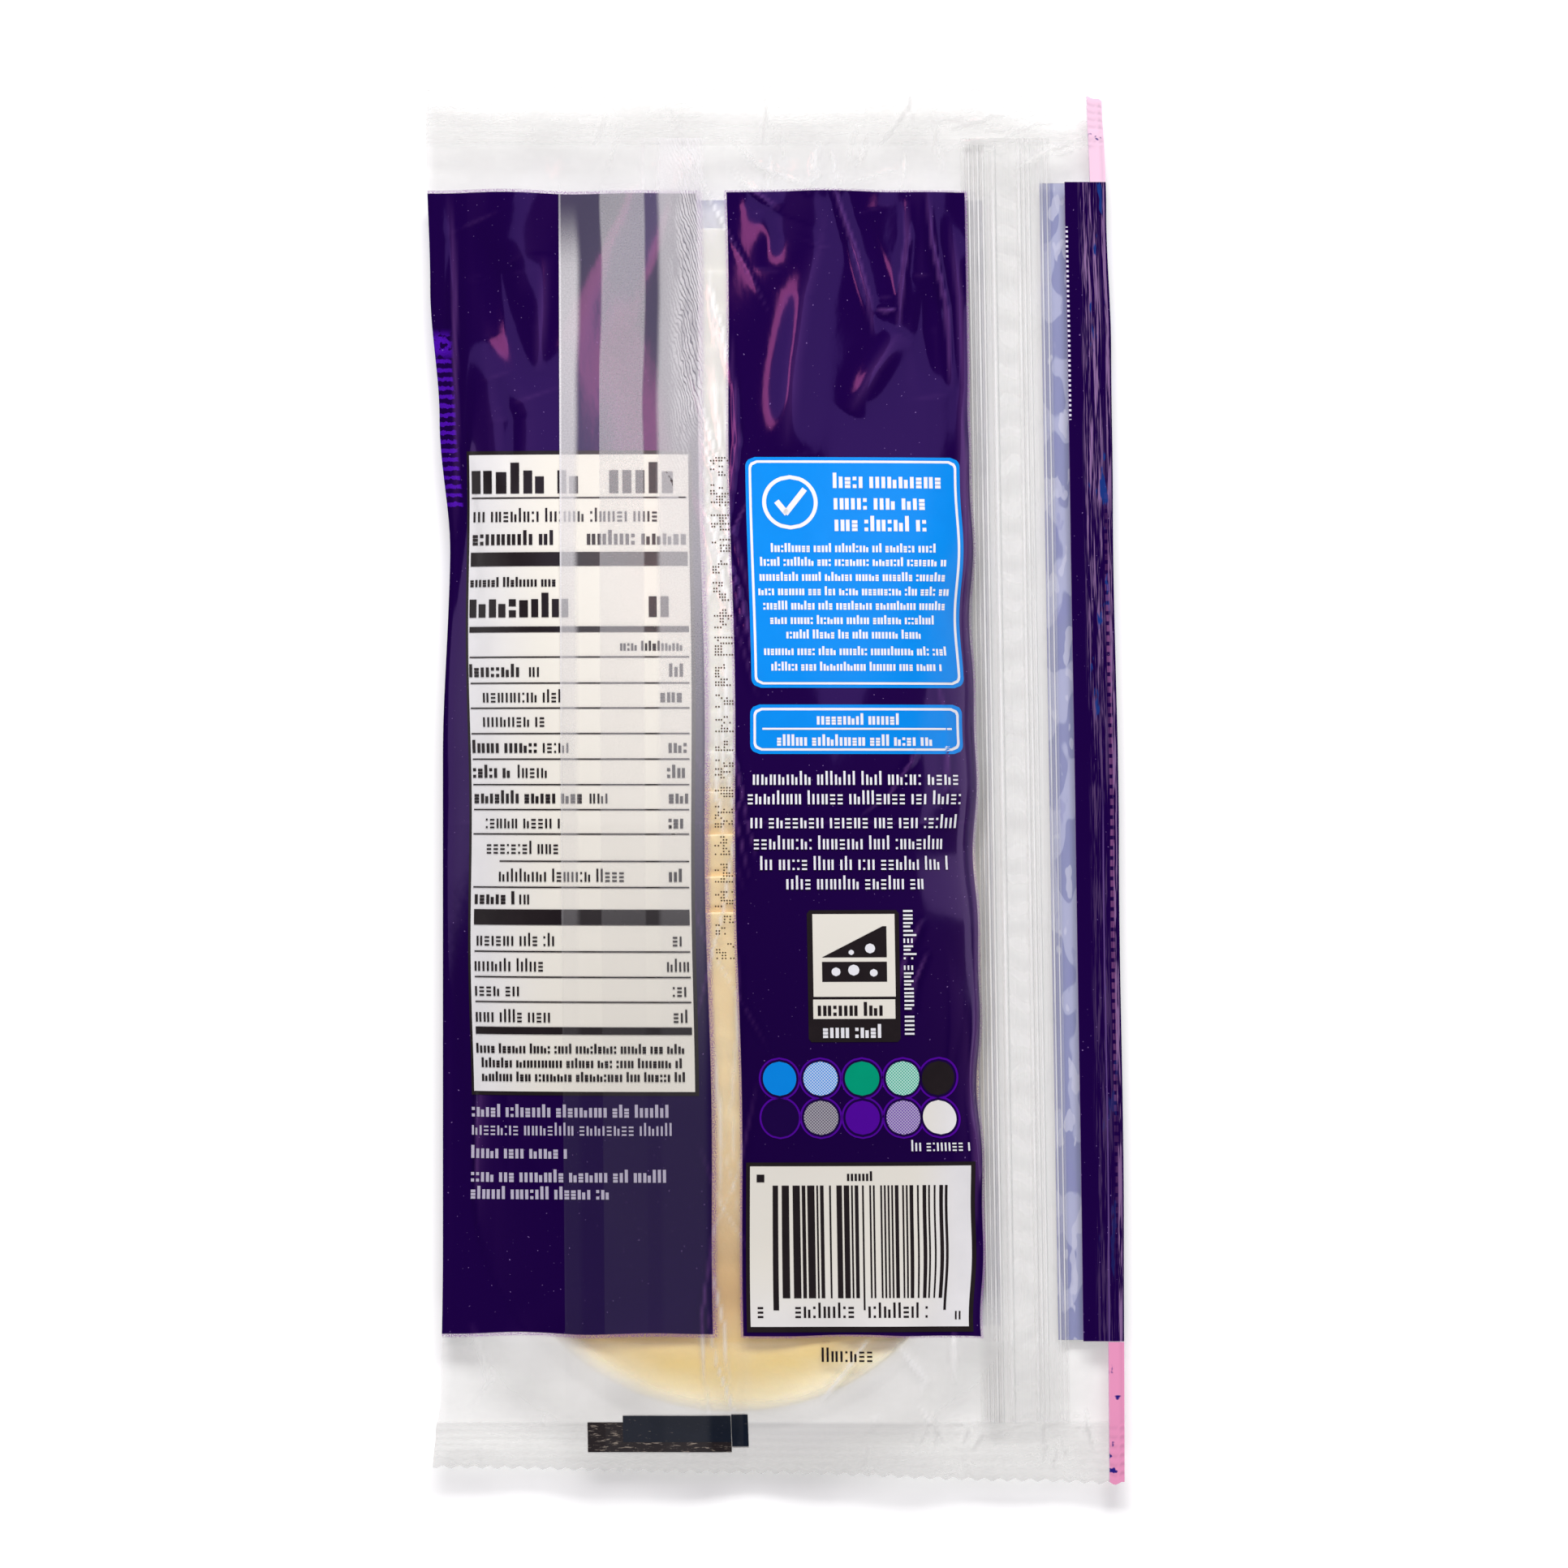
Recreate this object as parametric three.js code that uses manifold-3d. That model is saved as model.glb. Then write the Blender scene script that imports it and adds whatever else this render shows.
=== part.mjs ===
// A sealed pouch of sliced cheese, lying on its printed front with the seam side up.
//
// One web of clear film is folded round a shingled row of round slices. Its two long edges meet
// on this side in a fin seal, which is folded flat to the left. Both ends are crimped and cut in
// a zigzag. A press-to-close zip runs down the right side, outside the pocket that holds the
// slices. The pouch can't be opened without tearing it, so it is modelled as one solid.
//
// Millimetres. X runs across the pack, Y along it towards the top end, and Z up from the table.

import * as THREE from "three";
import { mergeVertices } from "three/addons/utils/BufferGeometryUtils.js";
import Module from "manifold-3d";

const wasm = await Module();
wasm.setup();

// The slices, which set the size of the pocket.
const SLICE_COUNT = 18;
const SLICE_DIAMETER = 91;
const SLICE_THICKNESS = 1.65;
const SHINGLE_STEP = 7.3; // how far each slice lies along from the one under it
const STACK_ACROSS = -9.5; // the row's middle line, which leans as the web does
const STACK_ALONG = -6.5;

// The film.
const PACK_LENGTH = 254;
const SEAL_BAND = 11.5; // crimped band at each end
const SEAL_THICKNESS = 0.9;
const SEAL_HEIGHT = 2.6; // the seals' mid-plane above the table
const FILM_SLACK = 0.7; // how far the film stands off the slices where it lies on them
const FILM_BEND = 3; // height over which the film's bend into the slices is rounded
const STACK_BEND = 22; // length over which the row's top rounds off into its two slopes
const FILM_PLY = 0.28; // one film, drawn a little thicker than it is
const HEADER_THICKNESS = 1.5; // both films and the zip's flange between them
const HEADER_DROOP = 0.9; // how far the zip's side hangs towards the table
const LEAN = 0.0165; // the web is wrapped slightly askew, so its lines lean this much

// The cut ends and the crimp.
const TOOTH_PITCH = 2.8;
const TOOTH_DEPTH = 0.6;
const RIDGE_PITCH = 2;
const RIDGE_HEIGHT = 0.2;

// Lines on the web, as distances from the pack's middle at half its length.
const LEFT_FOLD = -60.2;
const FIN_EDGE = -39.3; // free edge of the fin seal's outer ply
const FIN_INNER_EDGE = -31.6; // free edge of its shorter inner ply
const FIN_ROOT = -7.2;
const POCKET_EDGE = 36.6; // where the films come together beside the pocket
const ZIP_START = 37.4;
const ZIP_END = 52.4;
const RIGHT_FOLD = 62.2;

// The zip's ribs: middle, width and height of each.
const ZIP_RIBS = [
  { middle: 39.6, width: 0.9, height: 0.35 },
  { middle: 43.9, width: 2.0, height: 0.9 },
  { middle: 47.2, width: 1.6, height: 0.75 },
  { middle: 50.6, width: 0.8, height: 0.35 },
];

// The two sides bend in where the film is drawn over the stack: [along, across].
const LEFT_SIDE = [
  [-127, -62],
  [-118, -61.5],
  [-111, -60.5],
  [-85, -60.2],
  [5, -60.2],
  [42, -58.9],
  [66, -60.8],
  [90, -62.5],
  [118, -63.3],
  [127, -63.1],
];
const RIGHT_SIDE = [
  [-127, 63.3],
  [-80, 63.2],
  [-11, 62.3],
  [51, 61.2],
  [78, 60.9],
  [104, 60],
  [127, 59.2],
];

// Where the two ends were cut, as distances from the middle: [across, distance]. The top end is
// tucked in a little over the crushed zip, and the bottom end was cut askew.
const TOP_CUT = [
  [-64, 127],
  [40, 126.8],
  [47, 124.8],
  [52, 122.9],
  [57, 124.9],
  [60, 123.6],
];
const BOTTOM_CUT = [
  [-62, 124],
  [0, 125],
  [45, 126.4],
  [64, 127],
];

const SLICE_RADIUS = SLICE_DIAMETER / 2;
const FIRST_CENTRE = STACK_ALONG - ((SLICE_COUNT - 1) / 2) * SHINGLE_STEP;
const LAST_CENTRE = STACK_ALONG + ((SLICE_COUNT - 1) / 2) * SHINGLE_STEP;
const SLICES_DEEP = SLICE_DIAMETER / SHINGLE_STEP; // slices over each other in mid-row
const CROWN_HEIGHT = SLICES_DEEP * SLICE_THICKNESS + FILM_SLACK;
const POCKET_END = PACK_LENGTH / 2 - SEAL_BAND; // where each end seal begins

const { clamp, lerp, smoothstep } = THREE.MathUtils;

// A smooth side line through the listed points.
function sideAt(points, along) {
  const last = points.length - 2;
  const found = points.findIndex((point, i) => i <= last && along <= points[i + 1][0]);
  const i = found < 0 ? last : found;
  const [from, across] = points[i];
  const [to, next] = points[i + 1];
  return lerp(across, next, smoothstep(along, from, to));
}

// Where a line of the web lies across the pack at a place along it.
function acrossAt(web, along) {
  const left = sideAt(LEFT_SIDE, along);
  const right = sideAt(RIGHT_SIDE, along);
  const leaning = (line) => line - LEAN * along;
  if (web < FIN_EDGE) {
    return lerp(left, leaning(FIN_EDGE), (web - LEFT_FOLD) / (FIN_EDGE - LEFT_FOLD));
  }
  if (web > ZIP_END) {
    return lerp(leaning(ZIP_END), right, (web - ZIP_END) / (RIGHT_FOLD - ZIP_END));
  }
  return leaning(web);
}

// The larger of two values, with a rounded change from one to the other.
function rounderMax(one, other, round) {
  const share = clamp(0.5 + (0.5 * (one - other)) / round, 0, 1);
  return lerp(other, one, share) + round * share * (1 - share);
}

// The depth of cheese under a point: each slice covers it for a chord of its round.
function cheeseDepth(web, along) {
  const offset = web - STACK_ACROSS;
  const halfChord = Math.sqrt(Math.max(0, SLICE_RADIUS ** 2 - offset ** 2));
  const bend = Math.min(STACK_BEND, halfChord);
  if (bend < 1) {
    return 0;
  }
  const from = rounderMax(along - halfChord, FIRST_CENTRE - SHINGLE_STEP / 2, bend);
  const to = -rounderMax(-along - halfChord, -LAST_CENTRE - SHINGLE_STEP / 2, bend);
  return (Math.max(0, to - from) / SHINGLE_STEP) * SLICE_THICKNESS;
}

// How full the film stands along the pack: it climbs from each seal to the middle of the row,
// where the slices lie deepest.
function fullnessAlong(along) {
  const fromMiddle = along > STACK_ALONG ? along : -along;
  const plateau = along > STACK_ALONG ? LAST_CENTRE - SLICE_RADIUS : -FIRST_CENTRE - SLICE_RADIUS;
  const ramp = clamp((POCKET_END - fromMiddle) / (POCKET_END - plateau), 0, 1.2) ** 1.15;
  return -rounderMax(-1, -ramp, 0.3);
}

// The same across it: the film leaves the slices on a tangent and runs straight to the folds.
function fullnessAcross(web) {
  const offset = Math.abs(web - STACK_ACROSS);
  const reach = web < STACK_ACROSS ? STACK_ACROSS - LEFT_FOLD : POCKET_EDGE + 1 - STACK_ACROSS;
  const radius = SLICE_RADIUS + 0.5;
  const leaves = radius ** 2 / reach;
  if (offset < leaves) {
    return Math.sqrt(1 - (offset / radius) ** 2);
  }
  const last = Math.sqrt(1 - (leaves / radius) ** 2);
  return (last * Math.max(0, reach - offset)) / (reach - leaves);
}

// Broad folds where the loose film near each end gathers towards the crimp.
function gather(across, along) {
  const fromSeal = POCKET_END - Math.abs(along);
  const reach = along > 0 ? 42 : 24;
  const fade = smoothstep(fromSeal, 0, 8) * (1 - smoothstep(fromSeal, 8, reach));
  const inPocket = smoothstep(across, -56, -44) * (1 - smoothstep(across, 26, 35));
  return 0.9 * fade * inPocket * Math.cos((across - 0.25 * along) / 3.6);
}

// Fin seal, its flange and the zip's ribs, as height over the film beside them.
function reliefAt(web) {
  const step = (edge) => smoothstep(web, edge - 0.1, edge + 0.1);
  const fin = step(FIN_EDGE) + step(FIN_INNER_EDGE) - 2 * smoothstep(web, FIN_ROOT - 1.6, FIN_ROOT);
  const ribs = ZIP_RIBS.map(({ middle, width, height }) => {
    const edge = Math.abs(web - middle);
    return height * (1 - smoothstep(edge, width / 2 - 0.05, width / 2 + 0.3));
  });
  return FILM_PLY * fin + Math.max(0, ...ribs);
}

// The height at which the two films meet: waved at the seals, and lowest down the zip's side.
function meetingHeight(across, along) {
  const droop = HEADER_DROOP * smoothstep(across, POCKET_EDGE - 6, RIGHT_FOLD);
  const wave = 0.45 * Math.sin(across / 7 + Math.sign(along)) + 0.25 * Math.sin(across / 3.1);
  return SEAL_HEIGHT - droop + wave * smoothstep(Math.abs(along), POCKET_END - 25, POCKET_END);
}

// Half the thickness where the films lie together, closing to a round fold at both sides.
function halfHeader(web) {
  const fromFold = Math.min(web - LEFT_FOLD, RIGHT_FOLD - web);
  const rounded = Math.sqrt(clamp(fromFold / 1.2, 0.06, 1));
  const zipped = smoothstep(web, POCKET_EDGE - 8, ZIP_START);
  return (lerp(SEAL_THICKNESS, HEADER_THICKNESS, zipped) / 2) * rounded;
}

function underside(web, across, along) {
  const full = fullnessAlong(along) * fullnessAcross(web);
  return (meetingHeight(across, along) - halfHeader(web)) * (1 - smoothstep(full, 0.02, 0.3));
}

function topside(web, across, along) {
  const meeting = meetingHeight(across, along) + halfHeader(web);
  const full = fullnessAlong(along) * fullnessAcross(web);
  const drawn = meeting + (CROWN_HEIGHT - meeting) * full;
  const held = underside(web, across, along) + cheeseDepth(web, along) + FILM_SLACK;
  const relief = reliefAt(web) * smoothstep(POCKET_END - Math.abs(along), -1, 3);
  return rounderMax(drawn, held, FILM_BEND) + relief + gather(across, along);
}

// Lines of the web that the skin's columns follow.
function columnLines() {
  const lines = [LEFT_FOLD, LEFT_FOLD + 0.5, LEFT_FOLD + 1.8, -55, -50.5, -45.5];
  for (const edge of [FIN_EDGE, FIN_INNER_EDGE]) {
    lines.push(edge - 0.1, edge + 0.1);
  }
  lines.push(-35.5, -26, -20, -14, FIN_ROOT - 1.6, FIN_ROOT);
  for (let line = -2.5; line < POCKET_EDGE - 3; line += 4.6) {
    lines.push(line);
  }
  lines.push(POCKET_EDGE, ZIP_START);
  for (const { middle, width } of ZIP_RIBS) {
    lines.push(middle - width / 2 - 0.3, middle - width / 2, middle + width / 2, middle + width / 2 + 0.3);
  }
  lines.push(ZIP_END, 55.5, 58.5, RIGHT_FOLD - 1.6, RIGHT_FOLD - 0.5, RIGHT_FOLD);
  return lines.sort((a, b) => a - b);
}

// Places along the pack for the skin's rows, closer together near the seals.
function rowPlaces(count) {
  const end = POCKET_END + 1;
  return Array.from({ length: count + 1 }, (unused, i) => {
    const even = (2 * i) / count - 1;
    return end * (0.55 * even + 0.45 * Math.sin((even * Math.PI) / 2));
  });
}

// A closed skin of two sheets that share their rim, over a grid of web lines and rows.
function skinGeometry(columns, rows, acrossFor, over, under) {
  const wide = columns.length;
  const points = [];
  for (const height of [over, under]) {
    for (const along of rows) {
      for (const web of columns) {
        const across = acrossFor(web, along);
        points.push(across, along, height(web, across, along));
      }
    }
  }
  const upper = (row, column) => row * wide + column;
  const lower = (row, column) => (rows.length + row) * wide + column;
  const faces = [];
  const quad = (a, b, c, d) => faces.push(a, b, c, a, c, d);
  for (let row = 0; row < rows.length - 1; row += 1) {
    for (let column = 0; column < wide - 1; column += 1) {
      quad(upper(row, column), upper(row, column + 1), upper(row + 1, column + 1), upper(row + 1, column));
      quad(lower(row, column), lower(row + 1, column), lower(row + 1, column + 1), lower(row, column + 1));
    }
    quad(upper(row + 1, 0), lower(row + 1, 0), lower(row, 0), upper(row, 0));
    quad(upper(row, wide - 1), lower(row, wide - 1), lower(row + 1, wide - 1), upper(row + 1, wide - 1));
  }
  const far = rows.length - 1;
  for (let column = 0; column < wide - 1; column += 1) {
    quad(upper(0, column), lower(0, column), lower(0, column + 1), upper(0, column + 1));
    quad(upper(far, column + 1), lower(far, column + 1), lower(far, column), upper(far, column));
  }
  const geometry = new THREE.BufferGeometry();
  geometry.setAttribute("position", new THREE.Float32BufferAttribute(points, 3));
  geometry.setIndex(faces);
  return geometry;
}

// An end seal seen from above: straight at the pocket, zigzag where it was cut.
function sealOutline(end) {
  const cutLine = end > 0 ? TOP_CUT : BOTTOM_CUT;
  const inner = POCKET_END - 0.6;
  const margin = 0.15; // the seal just covers the end of the pocket's skin
  const left = sideAt(LEFT_SIDE, end * POCKET_END) - margin;
  const right = sideAt(RIGHT_SIDE, end * POCKET_END) + margin;
  const cornerLeft = sideAt(LEFT_SIDE, (end * PACK_LENGTH) / 2);
  const cornerRight = sideAt(RIGHT_SIDE, (end * PACK_LENGTH) / 2);
  const shape = new THREE.Shape();
  shape.moveTo(left, end * inner);
  shape.lineTo(cornerLeft, end * (sideAt(cutLine, cornerLeft) - TOOTH_DEPTH));
  const teeth = Math.round((cornerRight - cornerLeft) / TOOTH_PITCH);
  for (let tooth = 0; tooth < teeth; tooth += 1) {
    const tip = lerp(cornerLeft, cornerRight, (tooth + 0.5) / teeth);
    const root = lerp(cornerLeft, cornerRight, (tooth + 1) / teeth);
    shape.lineTo(tip, end * sideAt(cutLine, tip));
    shape.lineTo(root, end * (sideAt(cutLine, root) - TOOTH_DEPTH));
  }
  shape.lineTo(right, end * inner);
  const thick = 12;
  const geometry = new THREE.ExtrudeGeometry(shape, { depth: thick, bevelEnabled: false });
  return geometry.translate(0, 0, SEAL_HEIGHT - thick / 2);
}

// Both films crimped together in ridges across the pack. The band is thicker over the fin seal's
// plies and the crushed zip.
function crimpGeometry(end) {
  const inner = POCKET_END - 1.2;
  const outer = PACK_LENGTH / 2 + 1;
  const count = 2 * Math.round((outer - inner) / RIDGE_PITCH);
  const rows = Array.from({ length: count + 1 }, (unused, i) => end * lerp(inner, outer, i / count));
  const ridge = (along) => {
    const row = Math.round(((Math.abs(along) - inner) / (outer - inner)) * count);
    return row % 2 === 0 ? -RIDGE_HEIGHT / 2 : RIDGE_HEIGHT / 2;
  };
  const columns = [-72, -58, -52, -46];
  columns.push(FIN_EDGE - 0.1, FIN_EDGE + 0.1, -33, -26, -19.5, -13, FIN_ROOT - 1.6, FIN_ROOT);
  columns.push(-1, 5, 11.5, 18, 24.5, 31, ZIP_START, ZIP_START + 0.4, 45, ZIP_END - 0.4, ZIP_END, 57, 72);
  const halfThick = (web) => {
    const fin = smoothstep(web, FIN_EDGE - 0.1, FIN_EDGE + 0.1) - smoothstep(web, FIN_ROOT - 1.6, FIN_ROOT);
    const zip = smoothstep(web, ZIP_START, ZIP_START + 0.4) - smoothstep(web, ZIP_END - 0.4, ZIP_END);
    return SEAL_THICKNESS / 2 + 0.12 + FILM_PLY * (fin + 1.5 * zip);
  };
  return skinGeometry(
    columns,
    end > 0 ? rows : rows.reverse(),
    (web, along) => web - LEAN * along,
    (web, across, along) => meetingHeight(across, along) + ridge(along) + halfThick(web),
    (web, across, along) => meetingHeight(across, along) + ridge(along) - halfThick(web),
  );
}

function toSolid(geometry) {
  const bare = geometry.clone();
  bare.deleteAttribute("normal");
  bare.deleteAttribute("uv");
  const merged = mergeVertices(bare, 1e-4);
  const mesh = new wasm.Mesh({
    numProp: 3,
    vertProperties: merged.attributes.position.array,
    triVerts: new Uint32Array(merged.index.array),
  });
  return new wasm.Manifold(mesh);
}

function toGeometry(solid) {
  const mesh = solid.getMesh();
  const geometry = new THREE.BufferGeometry();
  geometry.setAttribute("position", new THREE.BufferAttribute(mesh.vertProperties, 3));
  geometry.setIndex(new THREE.BufferAttribute(mesh.triVerts, 1));
  geometry.computeVertexNormals();
  return geometry;
}

function endSeal(end) {
  return toSolid(crimpGeometry(end)).intersect(toSolid(sealOutline(end)));
}

// The pocket and the zip's side, joined to both end seals.
function pouchMesh() {
  const pocket = skinGeometry(columnLines(), rowPlaces(31), acrossAt, topside, underside);
  const joined = toSolid(pocket).add(endSeal(1)).add(endSeal(-1));
  const solid = joined.simplify(0.02);
  const film = new THREE.MeshStandardMaterial({ color: 0x2a0a5e, roughness: 0.22, metalness: 0 });
  const mesh = new THREE.Mesh(toGeometry(solid), film);
  mesh.name = "pouch";
  return mesh;
}

const pack = new THREE.Group();
pack.name = "sliced_cheese_pack";
pack.add(pouchMesh());

export default pack;
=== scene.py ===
import math
import random

import bmesh
import bpy
import numpy as np

from mathutils import Matrix, Vector


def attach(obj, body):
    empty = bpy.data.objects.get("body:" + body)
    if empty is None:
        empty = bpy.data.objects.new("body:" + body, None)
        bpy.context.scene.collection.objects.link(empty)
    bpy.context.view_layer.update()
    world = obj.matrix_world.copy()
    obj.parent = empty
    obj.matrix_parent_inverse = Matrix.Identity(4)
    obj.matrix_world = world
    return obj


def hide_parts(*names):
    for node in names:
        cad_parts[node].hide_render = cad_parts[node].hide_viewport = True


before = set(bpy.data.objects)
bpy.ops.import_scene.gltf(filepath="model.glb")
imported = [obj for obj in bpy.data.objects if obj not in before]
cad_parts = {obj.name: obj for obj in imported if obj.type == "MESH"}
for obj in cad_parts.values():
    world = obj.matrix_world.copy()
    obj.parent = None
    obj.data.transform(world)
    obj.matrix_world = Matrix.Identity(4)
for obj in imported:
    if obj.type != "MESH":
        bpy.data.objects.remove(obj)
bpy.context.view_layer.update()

# The slices of cheese. Round slices, cut from a log of pale mild cheese, lie shingled in a row:
# each lies on the one before it and drapes over its edge. Where the film is wet against them they
# look golden, where it stands off they look pale, and light passes through them a little. Their
# colour also carries painted light: a faint glow of their own, a painted shade darkening the row
# towards its low end, and a paler rim painted on the last slice over the shade at its edge.
MM = 0.001
SLICE_COUNT = 18
SLICE_RADIUS = 45.5
SLICE_THICKNESS = 1.65
SHINGLE_STEP = 7.3
ROW_ACROSS = -9.5
ROW_ALONG = -6.5
FIRST_CENTRE = ROW_ALONG - (SLICE_COUNT - 1) / 2 * SHINGLE_STEP
LAST_CENTRE = ROW_ALONG + (SLICE_COUNT - 1) / 2 * SHINGLE_STEP
ROW_BEND = 22.0
WEB_LEAN = 0.0165
POCKET_END = 115.5
SEAL_HEIGHT = 2.6
LEFT_FOLD, RIGHT_FOLD = -60.2, 62.2
POCKET_EDGE = 36.6


def ease(value, start, end):
    t = np.clip((value - start) / (end - start), 0.0, 1.0)
    return t * t * (3.0 - 2.0 * t)


def rounder_max(one, other, width):
    share = np.clip(0.5 + 0.5 * (one - other) / width, 0.0, 1.0)
    return other + (one - other) * share + width * share * (1.0 - share)


def cheese_depth(web, along):
    half_chord = np.sqrt(np.maximum(0.0, SLICE_RADIUS**2 - (web - ROW_ACROSS) ** 2))
    bend = np.clip(half_chord, 1.0, ROW_BEND)
    start = rounder_max(along - half_chord, FIRST_CENTRE - SHINGLE_STEP / 2, bend)
    end = -rounder_max(-along - half_chord, -LAST_CENTRE - SHINGLE_STEP / 2, bend)
    return np.where(half_chord > 1.0, np.maximum(0.0, end - start) / SHINGLE_STEP * SLICE_THICKNESS, 0.0)


def pocket_fullness(web, along):
    upper = along > ROW_ALONG
    from_middle = np.where(upper, along, -along)
    plateau = np.where(upper, LAST_CENTRE - SLICE_RADIUS, -FIRST_CENTRE - SLICE_RADIUS)
    ramp = np.clip((POCKET_END - from_middle) / (POCKET_END - plateau), 0.0, 1.2) ** 1.15
    down = -rounder_max(-1.0, -ramp, 0.3)
    offset = np.abs(web - ROW_ACROSS)
    reach = np.where(web < ROW_ACROSS, ROW_ACROSS - LEFT_FOLD, POCKET_EDGE + 1.0 - ROW_ACROSS)
    radius = SLICE_RADIUS + 0.5
    leaves = radius**2 / reach
    inner = np.sqrt(np.maximum(0.0, 1.0 - (offset / radius) ** 2))
    last = np.sqrt(1.0 - (leaves / radius) ** 2)
    outer = last * np.maximum(0.0, reach - offset) / (reach - leaves)
    return down * np.where(offset < leaves, inner, outer)


def table_side_height(web, along, meeting, half_film):
    full = pocket_fullness(web, along)
    return (meeting - half_film) * (1.0 - ease(full, 0.02, 0.3))


def new_piece(name, bm, materials, smooth=True):
    mesh = bpy.data.meshes.new(name)
    bm.to_mesh(mesh)
    bm.free()
    mesh.polygons.foreach_set("use_smooth", [smooth] * len(mesh.polygons))
    for material in materials:
        mesh.materials.append(material)
    piece = bpy.data.objects.new(name, mesh)
    bpy.context.scene.collection.objects.link(piece)
    return piece


def put(bm, across, along, height):
    for vert, x, y, z in zip(bm.verts, across, along, height):
        vert.co = (x * MM, y * MM, z * MM)


def add_node(tree, kind, **settings):
    node = tree.nodes.new("ShaderNode" + kind)
    for key, value in settings.items():
        setattr(node, key, value)
    return node


class Level:
    """A number that shader nodes work out, so that plain arithmetic on it adds math nodes."""

    def __init__(self, socket):
        self.socket = socket

    def __add__(self, other):
        return calc("ADD", self, other)

    def __sub__(self, other):
        return calc("SUBTRACT", self, other)

    def __rsub__(self, other):
        return calc("SUBTRACT", other, self)

    def __mul__(self, other):
        return calc("MULTIPLY", self, other)

    __radd__, __rmul__ = __add__, __mul__


def feed(socket, value):
    """Links a socket to what works its value out, or sets a constant on it."""
    if isinstance(value, Level):
        value = value.socket
    if isinstance(value, bpy.types.NodeSocket):
        socket.id_data.links.new(value, socket)
    else:
        socket.default_value = value


def give(node, values):
    for name, value in values.items():
        feed(node.inputs[name], value)


def calc(operation, one, other=0.0):
    known = one if isinstance(one, Level) else other
    node = add_node(known.socket.id_data, "Math", operation=operation)
    give(node, {0: one, 1: other})
    return Level(node.outputs[0])


def larger(one, other):
    return calc("MAXIMUM", one, other)


def sine(angle):
    return calc("SINE", angle)


def rise(value, start, end):
    """0 before the start, 1 past the end, and a smooth step between them."""
    node = add_node(value.socket.id_data, "MapRange", interpolation_type="SMOOTHSTEP")
    give(node, {"Value": value, "From Min": start, "From Max": end})
    return Level(node.outputs["Result"])


def within(value, low, high, soft=0.08):
    return rise(value, low - soft, low + soft) * rise(value, high + soft, high - soft)


def blend_colour(share, one, other):
    node = add_node(share.socket.id_data, "Mix", data_type="RGBA")
    give(node, {0: share, 6: one, 7: other})
    return node.outputs[2]


def noise(vector, scale, detail=3.0, rough=0.5):
    node = add_node(vector.id_data, "TexNoise")
    give(node, {"Vector": vector, "Scale": scale, "Detail": detail, "Roughness": rough})
    return Level(node.outputs["Fac"])


def stretched(vector, across, along):
    node = add_node(vector.id_data, "Mapping")
    give(node, {"Vector": vector, "Scale": (across, along, 1.0)})
    return node.outputs["Vector"]


def split(vector):
    node = add_node(vector.id_data, "SeparateXYZ")
    feed(node.inputs[0], vector)
    return Level(node.outputs["X"]), Level(node.outputs["Y"])


def distance(vector, centre):
    node = add_node(vector.id_data, "VectorMath", operation="DISTANCE")
    give(node, {0: vector, 1: centre})
    return Level(node.outputs["Value"])


def bumped(height, strength, reach):
    node = add_node(height.id_data, "Bump")
    give(node, {"Strength": strength, "Distance": reach, "Height": height})
    return node.outputs["Normal"]


def clamped(value):
    node = add_node(value.socket.id_data, "Clamp")
    feed(node.inputs["Value"], value)
    return Level(node.outputs[0])


def mixed(share, one, other):
    """One shader that gives way to another by a share."""
    node = add_node(share.socket.id_data, "MixShader")
    give(node, {0: share, 1: one, 2: other})
    return node.outputs[0]


def new_material(name):
    material = bpy.data.materials.new(name)
    material.use_nodes = True
    tree = material.node_tree
    tree.nodes.clear()
    output = add_node(tree, "OutputMaterial")
    surface = add_node(tree, "BsdfPrincipled")
    feed(output.inputs["Surface"], surface.outputs[0])
    place = add_node(tree, "TexCoord").outputs["Object"]
    return material, tree, place, surface, output


def cheese_material():
    material, _, place, surface, _ = new_material("cheese")
    _, along = split(place)
    dry = rise(along + noise(place, 180.0, 2.0) * 0.012, 0.0, 0.012)
    low = rise(along, -0.092, -0.106)
    mottle = noise(place, 90.0, 2.0, 0.6)
    golden = blend_colour(mottle, (0.88, 0.64, 0.2, 1), (0.95, 0.75, 0.31, 1))
    tan = blend_colour(mottle, (0.9, 0.66, 0.34, 1), (0.97, 0.81, 0.5, 1))
    pale = blend_colour(mottle, (0.93, 0.89, 0.77, 1), (0.97, 0.94, 0.85, 1))
    wet = blend_colour(low, tan, golden)
    last_middle = ((ROW_ACROSS - WEB_LEAN * FIRST_CENTRE) * MM, FIRST_CENTRE * MM, 0.003)
    # painted light: the last slice's rim is paled, lifting the shade along its edge
    rim = rise(distance(place, last_middle), 0.037, 0.045) * rise(along, -0.085, -0.1)
    wet = blend_colour(rim * 0.8, wet, (0.97, 0.9, 0.7, 1))
    # painted shade: the wet slices darken towards the low end of the row, short of its golden tip
    deep = rise(along, -0.058, -0.098)
    wet = blend_colour(deep * (1.0 - low), wet, (0.66, 0.42, 0.17, 1))
    flesh_and_glow = blend_colour(dry, wet, pale)
    curd = noise(place, 420.0, 3.0, 0.65)
    # the slices' colour is also given out as a faint painted glow, which lifts their shaded parts
    give(surface, {
        "Base Color": flesh_and_glow, "Emission Color": flesh_and_glow, "Emission Strength": 0.11, "Roughness": 0.42,
        "Subsurface Weight": 0.25, "Subsurface Radius": (1.0, 0.7, 0.35), "Subsurface Scale": 0.003,
        "Normal": bumped(curd.socket, 0.25, 0.0004),
    })
    return material


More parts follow.
